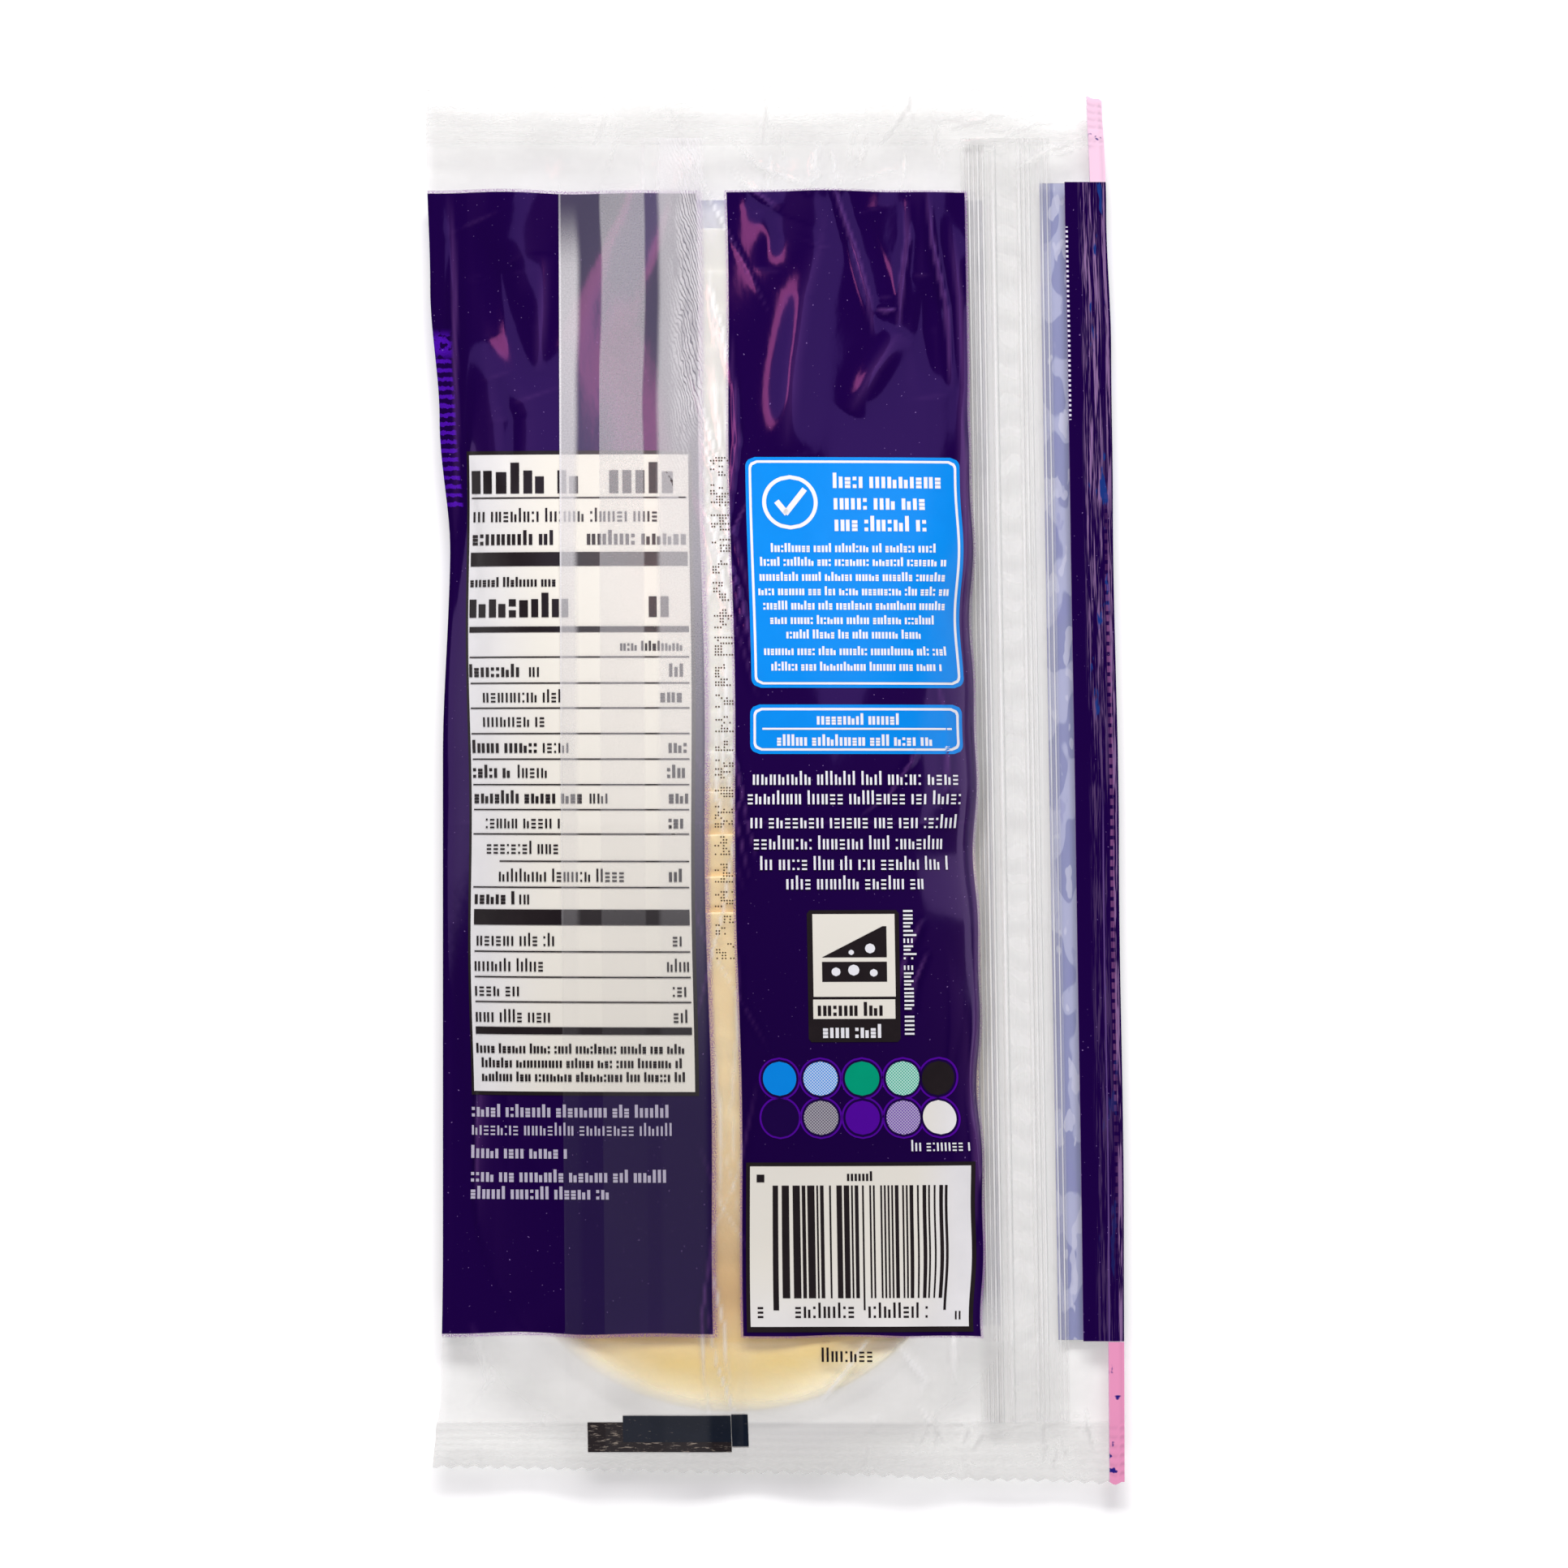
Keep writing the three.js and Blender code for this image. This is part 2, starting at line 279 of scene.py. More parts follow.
def meeting_height(across, along):
    droop = 0.9 * ease(across, POCKET_EDGE - 6.0, RIGHT_FOLD)
    wave = 0.45 * np.sin(across / 7.0 + np.sign(along)) + 0.25 * np.sin(across / 3.1)
    return SEAL_HEIGHT - droop + wave * ease(np.abs(along), POCKET_END - 25.0, POCKET_END)


def build_slices():
    chance = random.Random(7)
    centres = [
        (
            ROW_ACROSS + chance.uniform(-0.7, 0.7),
            LAST_CENTRE - i * SHINGLE_STEP + chance.uniform(-0.5, 0.5),
        )
        for i in range(SLICE_COUNT)
    ]
    centres[-1] = (ROW_ACROSS, FIRST_CENTRE)
    whole = bmesh.new()
    for order, (centre_web, centre_along) in enumerate(centres):
        bm = bmesh.new()
        bmesh.ops.create_grid(bm, x_segments=42, y_segments=42, size=1.0)
        flat = np.array([v.co[:2] for v in bm.verts])
        round_x = flat[:, 0] * np.sqrt(1.0 - flat[:, 1] ** 2 / 2.0)
        round_y = flat[:, 1] * np.sqrt(1.0 - flat[:, 0] ** 2 / 2.0)
        turn = np.arctan2(round_y, round_x)
        phase = chance.uniform(0.0, 6.28)
        uneven = 0.006 * np.sin(2.0 * turn + phase) + 0.004 * np.sin(5.0 * turn)
        radius = (SLICE_RADIUS - 0.4) * (1.0 + uneven)
        web = centre_web + round_x * radius
        along = centre_along + round_y * radius
        below = np.zeros(len(web))
        total = np.zeros(len(web))
        for other, (x, y) in enumerate(centres):
            cover = ease(SLICE_RADIUS - np.hypot(web - x, along - y), -2.2, 2.2)
            total += cover
            if other < order:
                below += cover
        settle = (cheese_depth(web, along) + SLICE_THICKNESS) / (total * SLICE_THICKNESS + SLICE_THICKNESS)
        across = web - WEB_LEAN * along
        base = table_side_height(web, along, meeting_height(across, along), 0.45)
        height = base + 0.15 + below * SLICE_THICKNESS * np.minimum(settle, 1.0)
        put(bm, across, along, height)
        rim = bm.faces[:]
        lifted = bmesh.ops.extrude_face_region(bm, geom=rim)
        raised = [v for v in lifted["geom"] if isinstance(v, bmesh.types.BMVert)]
        bmesh.ops.translate(bm, verts=raised, vec=(0.0, 0.0, SLICE_THICKNESS * 0.94 * MM))
        bmesh.ops.reverse_faces(bm, faces=[f for f in rim if f.is_valid])
        bmesh.ops.recalc_face_normals(bm, faces=bm.faces[:])
        corners = [e for e in bm.edges if len(e.link_faces) == 2 and e.calc_face_angle(0.0) > 1.0]
        bmesh.ops.bevel(
            bm, geom=corners, offset=0.45 * MM, offset_type="OFFSET", segments=2,
            profile=0.5, affect="EDGES", material=-1,
        )
        part = bpy.data.meshes.new("slice")
        bm.to_mesh(part)
        bm.free()
        whole.from_mesh(part)
        bpy.data.meshes.remove(part)
    return new_piece("cheese_slices", whole, [cheese_material()])


slices = build_slices()
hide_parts("pouch")
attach(slices, "root")

# The seam side of the film. One clear web is folded round the row, printed purple on its inside
# in two broad panels and an edge strip, and left clear between them and at both ends. It lies
# on the slices in mid-pack and puckers where it runs down to the seals.
PACK_HALF = 127.0
FILM_SLACK = 0.7
FILM_BEND = 3.0
CROWN = 2 * SLICE_RADIUS / SHINGLE_STEP * SLICE_THICKNESS + FILM_SLACK
FIN_EDGE, FIN_ROOT = -39.3, -7.2
ZIP_START, ZIP_END = 37.4, 52.4
LEFT_SIDE = (
    (-127, -62), (-118, -61.5), (-111, -60.5), (-85, -60.2), (5, -60.2),
    (42, -58.9), (66, -60.8), (90, -62.5), (118, -63.3), (127, -63.1),
)
RIGHT_SIDE = ((-127, 63.3), (-80, 63.2), (-11, 62.3), (51, 61.2), (78, 60.9), (104, 60), (127, 59.2))
TOP_CUT = ((-64, 127), (40, 126.8), (47, 124.8), (52, 122.9), (57, 124.9), (60, 123.6))
BOTTOM_CUT = ((-62, 124), (0, 125), (45, 126.4), (64, 127))
TOOTH_PITCH, TOOTH_DEPTH = 2.8, 0.6
FILM_COLUMNS, FILM_ROWS = 212, 444

# Ridges and creases in the loose film, as points across and along, with a width, a height and
# how far along it the ridge is highest.
LOOSE_FOLDS = (
    (((9.8, 106), (8.0, 97), (5.2, 88), (3.4, 76), (2.0, 60)), 3.4, 1.10, 0.7),
    (((-2.0, 104), (-1.0, 99), (-2.0, 93)), 2.4, -0.35, 0.5),
    (((9.6, 112), (12.0, 104), (14.4, 97), (16.9, 88), (18.0, 80)), 0.9, 0.42, 0.5),
    (((23.6, 106), (23.9, 99), (23.0, 92), (22.3, 82)), 0.9, 0.42, 0.5),
    (((17.4, 104), (19.4, 96), (20.0, 88)), 3.0, -0.45, 0.5),
    (((22.6, 82), (18.0, 75), (13.5, 67)), 2.6, 0.80, 0.5),
    (((17.9, 85.8), (20.0, 85.6), (22.2, 85.9)), 0.6, 0.25, 0.5),
    (((27.4, 108), (28.5, 98), (31.0, 86), (32.0, 70)), 0.7, 0.40, 0.5),
    (((31.2, 104), (33.4, 88), (34.2, 72), (33.8, 50)), 1.5, 0.55, 0.5),
    (((27.0, 92), (26.5, 82), (28.0, 70)), 2.6, -0.60, 0.5),
    (((-59.4, 108), (-58.4, 98), (-57.9, 88), (-57.8, 66), (-57.9, 44)), 1.1, 0.40, 0.4),
    (((-54.5, 102), (-50.0, 92), (-48.0, 82), (-44.0, 70)), 4.6, -1.10, 0.5),
    (((-50.0, 74), (-47.5, 66), (-48.0, 52)), 2.4, -0.50, 0.5),
    (((-41.5, 96), (-42.0, 86), (-43.0, 74)), 2.2, 0.50, 0.6),
    (((34.8, 40), (36.0, 10), (36.4, -30), (35.8, -80)), 0.6, 0.30, 0.5),
    (((26.6, 11), (24.5, 4), (20.5, -2), (15.0, -6)), 0.5, 0.16, 0.4),
    (((29.0, 20), (31.0, 10), (30.5, -3)), 0.6, 0.20, 0.6),
    (((26.5, -24), (23.5, -31), (21.5, -39)), 0.7, 0.22, 0.4),
    (((27.5, -30), (25.0, -36), (24.5, -42)), 0.5, 0.16, 0.5),
    (((17.2, -100), (13.0, -106), (8.2, -112)), 0.8, 0.40, 0.5),
    (((22.0, -101), (27.0, -108), (26.0, -112)), 1.0, 0.30, 0.5),
    (((33.0, -98), (32.0, -109)), 0.8, 0.30, 0.5),
    (((-55.0, -97), (-52.0, -108), (-56.0, -114)), 1.3, 0.25, 0.5),
    (((-9.0, 118), (-3.0, 112), (7.0, 108)), 0.8, 0.25, 0.5),
    (((7.0, 116), (7.6, 110), (5.2, 107.5)), 0.6, 0.25, 0.5),
    (((-8.4, 112), (-4.0, 107.5), (1.0, 104)), 0.8, 0.25, 0.5),
    (((25.0, 112), (14.0, 109), (9.0, 110)), 0.9, 0.20, 0.5),
)


def side_at(points, place):
    xs = np.array([p[0] for p in points], float)
    ys = np.array([p[1] for p in points], float)
    place = np.clip(place, xs[0], xs[-1])
    i = np.clip(np.searchsorted(xs, place, side="right") - 1, 0, len(xs) - 2)
    t = (place - xs[i]) / (xs[i + 1] - xs[i])
    return ys[i] + (ys[i + 1] - ys[i]) * t * t * (3.0 - 2.0 * t)


def across_at(web, along):
    left, right = side_at(LEFT_SIDE, along), side_at(RIGHT_SIDE, along)
    fin, zipped = FIN_EDGE - WEB_LEAN * along, ZIP_END - WEB_LEAN * along
    outer_left = left + (fin - left) * (web - LEFT_FOLD) / (FIN_EDGE - LEFT_FOLD)
    outer_right = zipped + (right - zipped) * (web - ZIP_END) / (RIGHT_FOLD - ZIP_END)
    middle = web - WEB_LEAN * along
    return np.where(web < FIN_EDGE, outer_left, np.where(web > ZIP_END, outer_right, middle))


def web_at(across, along):
    left, right = side_at(LEFT_SIDE, along), side_at(RIGHT_SIDE, along)
    fin, zipped = FIN_EDGE - WEB_LEAN * along, ZIP_END - WEB_LEAN * along
    outer_left = LEFT_FOLD + (across - left) * (FIN_EDGE - LEFT_FOLD) / (fin - left)
    outer_right = ZIP_END + (across - zipped) * (RIGHT_FOLD - ZIP_END) / (right - zipped)
    middle = across + WEB_LEAN * along
    return np.where(across < fin, outer_left, np.where(across > zipped, outer_right, middle))


def wavered(across, along):
    """The film's places across the pack, with the waver that its loose folds give the print."""
    right = 0.34 * np.sin(along / 6.5 + 0.6) + 0.22 * np.sin(along / 3.4 + 2.0)
    near_zip = ease(across, 22.0, 33.0) * (1.0 - ease(across, 40.0, 46.0)) * (1.0 - ease(along, 60.0, 75.0))
    left = 0.22 * np.sin(along / 9.0 + 1.9) * ease(across, -46.0, -54.0) * (1.0 - ease(across, -57.0, -60.0))
    middle = 0.25 * np.sin(along / 12.0) * ease(across, -20.0, -12.0) * (1.0 - ease(across, -4.0, 6.0))
    return across + right * near_zip + left + middle


def half_header(web):
    from_fold = np.minimum(web - LEFT_FOLD, RIGHT_FOLD - web)
    rounded = np.sqrt(np.clip(from_fold / 1.2, 0.06, 1.0))
    zipped = ease(web, POCKET_EDGE - 8.0, ZIP_START)
    return (0.9 + 0.6 * zipped) / 2.0 * rounded


def fold_field(across, along, folds):
    field = np.zeros_like(across)
    for points, width, height, crest in folds:
        lengths = [math.dist(a, b) for a, b in zip(points, points[1:])]
        whole, gone = sum(lengths), 0.0
        strongest = np.zeros_like(across)
        for (x0, y0), (x1, y1), length in zip(points, points[1:], lengths):
            dx, dy = x1 - x0, y1 - y0
            t = np.clip(((across - x0) * dx + (along - y0) * dy) / length**2, 0.0, 1.0)
            off = np.hypot(across - x0 - t * dx, along - y0 - t * dy)
            run = np.clip((gone + t * length) / whole, 0.0, 1.0)
            taper = np.where(run < crest, run / crest, (1.0 - run) / (1.0 - crest))
            taper = np.sin(np.pi / 2.0 * taper)
            strongest = np.maximum(strongest, np.exp(-((off / width) ** 1.7)) * taper)
            gone += length
        field += height * strongest
    return field


def small_folds(seed, count, left, right, low, high, length, tilt, width, height):
    chance = random.Random(seed)
    folds = []
    for _ in range(count):
        x, y = chance.uniform(left, right), chance.uniform(low, high)
        reach = length * chance.uniform(0.5, 1.4)
        angle = math.radians(tilt + chance.gauss(0.0, 14.0))
        dx, dy = math.cos(angle) * reach / 2, math.sin(angle) * reach / 2
        bend = chance.uniform(-0.12, 0.12) * reach
        points = ((x - dx, y - dy), (x - dy / reach * bend, y + dx / reach * bend), (x + dx, y + dy))
        folds.append((points, width * chance.uniform(0.7, 1.4), height * chance.uniform(0.4, 1.2), 0.5))
    return folds


SEAL_FOLDS = (
    small_folds(3, 7, -60, 58, 112, 124, 9, 86, 0.5, 0.12)
    + small_folds(4, 9, -12, 34, 109, 122, 10, 80, 0.5, 0.22)
    + small_folds(5, 12, 30, 58, 114, 122, 11, 4, 0.5, 0.16)
    + small_folds(6, 14, 12, 58, -126, -116, 8, 88, 0.5, 0.22)
    + small_folds(7, 7, 32, 60, -118, -113, 11, 3, 0.5, 0.14)
    + small_folds(8, 5, -60, 10, -126, -116, 8, 86, 0.6, 0.10)
)
ROOT_FOLDS = (
    small_folds(9, 22, -11.8, -7.0, -10, 112, 34, 92, 0.42, 0.20)
    + small_folds(10, 12, -11.0, -6.5, -112, 0, 34, 92, 0.42, 0.18)
)


def film_height(web, along):
    across = across_at(web, along)
    meeting = meeting_height(across, along)
    half = half_header(web)
    full = pocket_fullness(web, along)
    top = meeting + half
    drawn = top + (CROWN - top) * full
    held = table_side_height(web, along, meeting, half) + cheese_depth(web, along) + FILM_SLACK
    height = rounder_max(drawn, held, FILM_BEND)
    from_seal = POCKET_END - np.abs(along)
    reach = np.where(along > 0, 42.0, 24.0)
    fade = ease(from_seal, 0.0, 8.0) * (1.0 - ease(from_seal, 8.0, reach))
    in_pocket = ease(across, -56.0, -44.0) * (1.0 - ease(across, 26.0, 35.0))
    height += 0.55 * fade * in_pocket * np.cos((across - 0.25 * along) / 3.6)
    height += fold_field(across, along, LOOSE_FOLDS + tuple(SEAL_FOLDS) + tuple(ROOT_FOLDS))
    past_pocket = ease(np.abs(along), POCKET_END, POCKET_END + 1.0)
    return height + 0.02 * np.sin(np.abs(along) * 2.0 * np.pi / 1.7) * past_pocket


def cut_along(across, along):
    """Draws the rows past the pocket out to the scalloped cut."""
    cut = np.where(along > 0, side_at(TOP_CUT, across), side_at(BOTTOM_CUT, across))
    tooth = TOOTH_DEPTH * (0.5 - 0.5 * np.cos(2.0 * np.pi * across / TOOTH_PITCH))
    share = np.clip((np.abs(along) - POCKET_END) / (PACK_HALF - POCKET_END), 0.0, 1.0)
    past = POCKET_END + share * (cut - tooth - POCKET_END)
    return np.where(share > 0.0, np.sign(along) * past, along)


film_webs = np.linspace(LEFT_FOLD, RIGHT_FOLD, FILM_COLUMNS + 1)
film_places = np.linspace(-PACK_HALF, PACK_HALF, FILM_ROWS + 1)
film_heights = film_height(*np.meshgrid(film_webs, film_places))


def crease_maps():
    """How sharply the film is creased upwards and downwards at each of its points."""
    padded = np.pad(film_heights, 1, mode="edge")
    ring = padded[:-2, 1:-1] + padded[2:, 1:-1] + padded[1:-1, :-2] + padded[1:-1, 2:]
    bend = ring / 4.0 - film_heights
    bend[np.abs(film_places) > PACK_HALF - 1.0, :] = 0.0
    return np.clip(-bend / 0.055, 0.0, 1.0), np.clip(bend / 0.055, 0.0, 1.0)


film_ridges, film_valleys = crease_maps()


def film_z(across, along):
    """The height of the film's own facets, so that ink lies on it without gaps."""
    across, along = np.asarray(across, float), np.asarray(along, float)
    cut = np.where(along > 0, side_at(TOP_CUT, across), side_at(BOTTOM_CUT, across))
    past = np.maximum(0.0, np.abs(along) - POCKET_END) * (PACK_HALF - POCKET_END) / (cut - POCKET_END)
    place = np.sign(along) * (np.minimum(np.abs(along), POCKET_END) + past)
    column = (web_at(across, along) - LEFT_FOLD) / (RIGHT_FOLD - LEFT_FOLD) * FILM_COLUMNS
    row = (place + PACK_HALF) / (2 * PACK_HALF) * FILM_ROWS
    c = np.clip(column.astype(int), 0, FILM_COLUMNS - 1)
    r = np.clip(row.astype(int), 0, FILM_ROWS - 1)
    s, t = column - c, row - r
    low = film_heights[r, c] * (1 - s) + film_heights[r, c + 1] * s
    high = film_heights[r + 1, c] * (1 - s) + film_heights[r + 1, c + 1] * s
    return low * (1 - t) + high * t


def hold_down(piece, clearance):
    """The film holds down the slices' rims where it runs close over them."""
    places = np.array([v.co for v in piece.data.vertices]) / MM
    held = np.minimum(places[:, 2], film_z(places[:, 0], places[:, 1]) - clearance)
    for vert, z in zip(piece.data.vertices, held):
        vert.co.z = z * MM


hold_down(slices, 0.25)


def lay_uvs(bm, across, along):
    layer = bm.loops.layers.uv.verify()
    for face in bm.faces:
        for loop in face.loops:
            i = loop.vert.index
            loop[layer].uv = (across[i] * MM, along[i] * MM)


def sheet(columns, rows, shape):
    """A grid over the web, placed by shape(web, along), with the web's own places as its UVs."""
    bm = bmesh.new()
    bmesh.ops.create_grid(bm, x_segments=columns, y_segments=rows, size=1.0, calc_uvs=True)
    flat = np.array([v.co[:2] for v in bm.verts])
    web = LEFT_FOLD + (flat[:, 0] + 1) / 2 * (RIGHT_FOLD - LEFT_FOLD)
    along = flat[:, 1] * PACK_HALF
    put(bm, *shape(web, along))
    lay_uvs(bm, web, along)
    return bm


def ripple_group():
    """Fine ripples and pin-pricks of light in thin film."""
    tree = bpy.data.node_groups.new("film_ripple", "ShaderNodeTree")
    for name, way, kind in (
        ("Vector", "INPUT", "Vector"), ("Coarse", "INPUT", "Float"),
        ("Fine", "INPUT", "Float"), ("Height", "OUTPUT", "Float"),
    ):
        tree.interface.new_socket(name, in_out=way, socket_type="NodeSocket" + kind)
    into, out = tree.nodes.new("NodeGroupInput"), tree.nodes.new("NodeGroupOutput")
    vector, coarse, fine = into.outputs["Vector"], into.outputs["Coarse"], into.outputs["Fine"]
    broad_ripples = noise(stretched(vector, 1.0, 0.35), 70.0, 1.0, 0.45)
    fine_ripples = noise(stretched(vector, 1.0, 0.5), 420.0, 2.0, 0.6)
    feed(out.inputs["Height"], broad_ripples * coarse + fine_ripples * fine)
    return tree


film_ripple = ripple_group()


def rippled_normal(vector, coarse, fine):
    group = add_node(vector.id_data, "Group", node_tree=film_ripple)
    give(group, {"Vector": vector, "Coarse": coarse, "Fine": fine})
    return bumped(group.outputs["Height"], 1.0, 0.001)


INK_PURPLE = (0.0100, 0.0003, 0.050, 1.0)
FILM_TONE = (0.95, 0.945, 0.925, 1)


def web_coordinates(tree):
    """The vector and the millimetres of a place on the web before it is folded."""
    uv = add_node(tree, "UVMap").outputs[0]
    across, along = split(uv)
    return uv, across * 1000.0, along * 1000.0


def edge_on(normal, blend):
    """How far a surface is seen edge-on, where film is at its whitest."""
    node = add_node(normal.id_data, "LayerWeight")
    give(node, {"Blend": blend, "Normal": normal})
    return Level(node.outputs["Facing"])


def clear_surface(vector, haze, shine, rough, coarse, fine, ridge=None, valley=None):
    """Clear film: what lies behind it, a little haze and a gloss at its ripples, with a painted pale
    highlight on its ridges and painted grey shade in its valleys and wherever the shade mask reaches."""
    tree = vector.id_data
    normal = rippled_normal(vector, coarse, fine)
    behind = add_node(tree, "BsdfTransparent")
    give(behind, {"Color": (0.985, 0.985, 0.980, 1)})
    share = haze + edge_on(normal, 0.35) * shine
    tone = FILM_TONE
    # painted light: ridges take more of the pale body as a highlight, and the valley mask greys it as shade
    if ridge is not None:
        tone = blend_colour(valley, FILM_TONE, (0.56, 0.555, 0.54, 1))
        share = share + ridge * 0.42 + valley * 0.3
    body = add_node(tree, "BsdfPrincipled")
    give(body, {"Base Color": tone, "Metallic": 0.08, "Roughness": rough, "Normal": normal})
    return mixed(clamped(share), behind.outputs[0], body.outputs[0])


def seam_film_material():
    material, tree, place, ink, output = new_material("printed_film")
    web, u, v = web_coordinates(tree)
    v_wavy = v + (noise(stretched(web, 1, 0.01), 34.0, 1.0) - 0.5) * 3.0
    left = within(u, -80.0, -12.65) * within(v_wavy, -99.6, 107.0)
    right = within(u, -7.2, 36.1) * within(v_wavy, -99.9, 107.2)
    strip = within(u, 54.3, 80.0) * within(v, -101.0, 109.1)
    field = larger(larger(left, right), strip)

    grain = noise(web, 5200.0, 1.0, 0.5)
    fringe_u = larger(within(u, -80.0, -11.8, 0.5), within(u, -7.6, 36.5, 0.2))
    fringe_v = within(v_wavy, -100.2, 107.5, 0.2)
    fringe = fringe_u * fringe_v * rise(grain, 0.47, 0.53)
    ink_mask = larger(field, fringe * 0.75)

    # worn streaks, blue spots, a beaded rub and a lilac thread down the folded edge
    streak = noise(stretched(web, 2200.0, 60.0), 1.0, 3.0, 0.75)
    worn = rise(streak, 0.48, 0.6) * within(u, 57.2, 60.4, 0.6)
    worn = worn * (0.16 + rise(v, -20.0, 60.0) * 0.7)
    rubbed = rise(streak, 0.46, 0.52) * within(u, 61.2, 61.9, 0.15)
    worn = larger(worn, rubbed * 0.8)
    blot = noise(stretched(web, 420.0, 90.0), 1.0, 3.0, 0.6)
    blue = rise(blot, 0.6, 0.64) * within(u, 57.6, 61.4, 0.3)
    blue = blue * (0.3 + rise(v, -10.0, 20.0) * 0.7)
    shade = blend_colour(worn, INK_PURPLE, (0.3, 0.17, 0.36, 1))
    shade = blend_colour(blue, shade, (0.01, 0.035, 0.2, 1))
    beads = rise(sine(v * (math.tau / 1.85)), -0.6, -0.1) * within(u, 60.6, 61.4, 0.12)
    beads = beads * (rise(v, -96.0, -20.0) * rise(v, 60.0, 20.0))
    beads = beads * rise(streak, 0.3, 0.62)
    shade = blend_colour(beads * 0.7, shade, (0.26, 0.09, 0.25, 1))
    thread = within(u, 59.2, 59.45, 0.08) * rise(v, 5.0, -15.0)
    shade = blend_colour(thread * 0.6, shade, (0.17, 0.09, 0.3, 1))

    # violet stripes where the front's print comes round the left fold
    ragged = sine(v * (math.tau / 1.62)) + (noise(web, 1300.0, 3.0) - 0.5) * 4.0
    stripes = rise(ragged, 0.0, 0.35) * within(u, -61.0, -57.3, 0.3) * within(v, 50.0, 77.5, 0.6)
    blotted = rise(noise(web, 700.0, 3.0), 0.44, 0.5)
    blotted = blotted * (within(v, 77.5, 81.5, 1.2) * within(u, -60.6, -57.0, 0.6))
    shade = blend_colour(larger(stripes, blotted) * (0.35 + grain), shade, (0.085, 0.006, 0.46, 1))

    # fine white dashes beside the edge strip
    dash = rise(sine(v * (math.tau / 0.9)), 0.0, 0.3)
    dashes = dash * within(u, 54.35, 54.8) * within(v, 66.0, 101.0)
    shade = blend_colour(dashes, shade, (0.75, 0.72, 0.85, 1))

    # specks in the ink, and a lilac dust where it ends
    speck = rise(noise(web, 1900.0, 1.0, 0.5), 0.745, 0.8)
    shade = blend_colour(speck * 0.6, shade, (0.36, 0.22, 0.55, 1))
    shade = blend_colour(1.0 - field, shade, (0.3, 0.1, 0.38, 1))

    # pink bands on the right edge past both ends of the print
    past_print = larger(rise(v, 109.0, 109.2), rise(v, -101.0, -101.2))
    pink = past_print * rise(u, 59.0, 59.3)
    fleck = rise(noise(web, 210.0, 3.0, 0.6), 0.61, 0.64) * pink
    pinks = blend_colour(rise(v, 0.0, 1.0), (0.8, 0.3, 0.5, 1), (0.92, 0.62, 0.78, 1))
    shade = blend_colour(pink, shade, pinks)
    shade = blend_colour(fleck, shade, (0.02, 0.012, 0.2, 1))
    ink_mask = larger(ink_mask, pink)

    # creases: a painted highlight on their ridges and painted shade in their valleys
    ridge, valley = (
        Level(add_node(tree, "Attribute", attribute_name=name).outputs["Fac"]) for name in ("ridge", "valley")
    )
    on_panels = within(u, -61.0, 54.0, 0.4)
    shade = blend_colour(ridge * on_panels * 0.3, shade, (0.2, 0.07, 0.3, 1))
    shade = blend_colour(valley * 0.6, shade, (0.006, 0.0002, 0.03, 1))
    give(ink, {
        "Base Color": shade, "Roughness": 0.09, "Specular IOR Level": 0.65,
        "Specular Tint": (0.62, 0.34, 1.0, 1), "Normal": rippled_normal(place, 0.4, 0.012),
    })

    # the clear film's haze, over the cheese in the strip, at the welds and at both bare ends; painted grey
    # shade at the ends and welds
    bare_end = larger(rise(v, 107.0, 108.0), rise(v, -100.5, -101.5))
    over_cheese = within(u, -14.0, -6.0, 1.0) * rise(v, 108.0, 103.0)
    haze = 0.04 + (0.04 + rise(v, -8.0, 22.0) * 0.46) * over_cheese
    welded = rise(calc("ABSOLUTE", v), 115.2, 116.2)
    pressed = noise(stretched(web, 22.0, 2100.0), 1.0, 2.0, 0.5)
    blotch = noise(stretched(web, 90.0, 160.0), 1.0, 3.0, 0.55)
    low_end = rise(v, 0.0, -1.0)
    weld_haze = rise(pressed, 0.5, 0.68) * 0.08 + rise(blotch, 0.5, 0.68) * 0.1
    weld_haze = weld_haze + (0.03 + low_end * 0.05)
    from_middle = distance(web, ((ROW_ACROSS + 1.5) * MM, FIRST_CENTRE * MM, 0.0))
    off_cheese = rise(from_middle, 0.042, 0.0465) * rise(from_middle, 0.062, 0.049)
    off_cheese = off_cheese * rise(v, -90.0, -100.0)
    slack = bare_end * rise(blotch, 0.3, 0.62)
    haze = haze + welded * weld_haze + off_cheese * 0.62 + slack * 0.06
    # painted shade: the bare ends and the welds are greyed, more so at the low end and the lower right, where
    # less light falls
    end_painted_shade = bare_end * 0.22 + welded * 0.34
    low_right_shade = rise(u, 30.0, 36.0) * rise(v, -100.5, -101.5)
    end_painted_shade = end_painted_shade + larger(low_right_shade, welded * low_end) * 0.18
    grey = larger(valley * (1.0 - over_cheese * 0.6), end_painted_shade)
    clear = clear_surface(place, haze, 0.35, 0.12, 0.45, 0.06, ridge, grey)
    feed(output.inputs["Surface"], mixed(ink_mask, clear, ink.outputs[0]))
    return material


def grid_point(web, along):
    """The row and the column of film_heights at a place on the web."""
    column = (web - LEFT_FOLD) / (RIGHT_FOLD - LEFT_FOLD) * FILM_COLUMNS
    row = (along + PACK_HALF) / (2 * PACK_HALF) * FILM_ROWS
    return np.rint(row).astype(int), np.rint(column).astype(int)


def seam_shape(web, along):
    across = across_at(web, along)
    return wavered(across, along), cut_along(across, along), film_heights[grid_point(web, along)]


seam_bm = sheet(FILM_COLUMNS, FILM_ROWS, seam_shape)
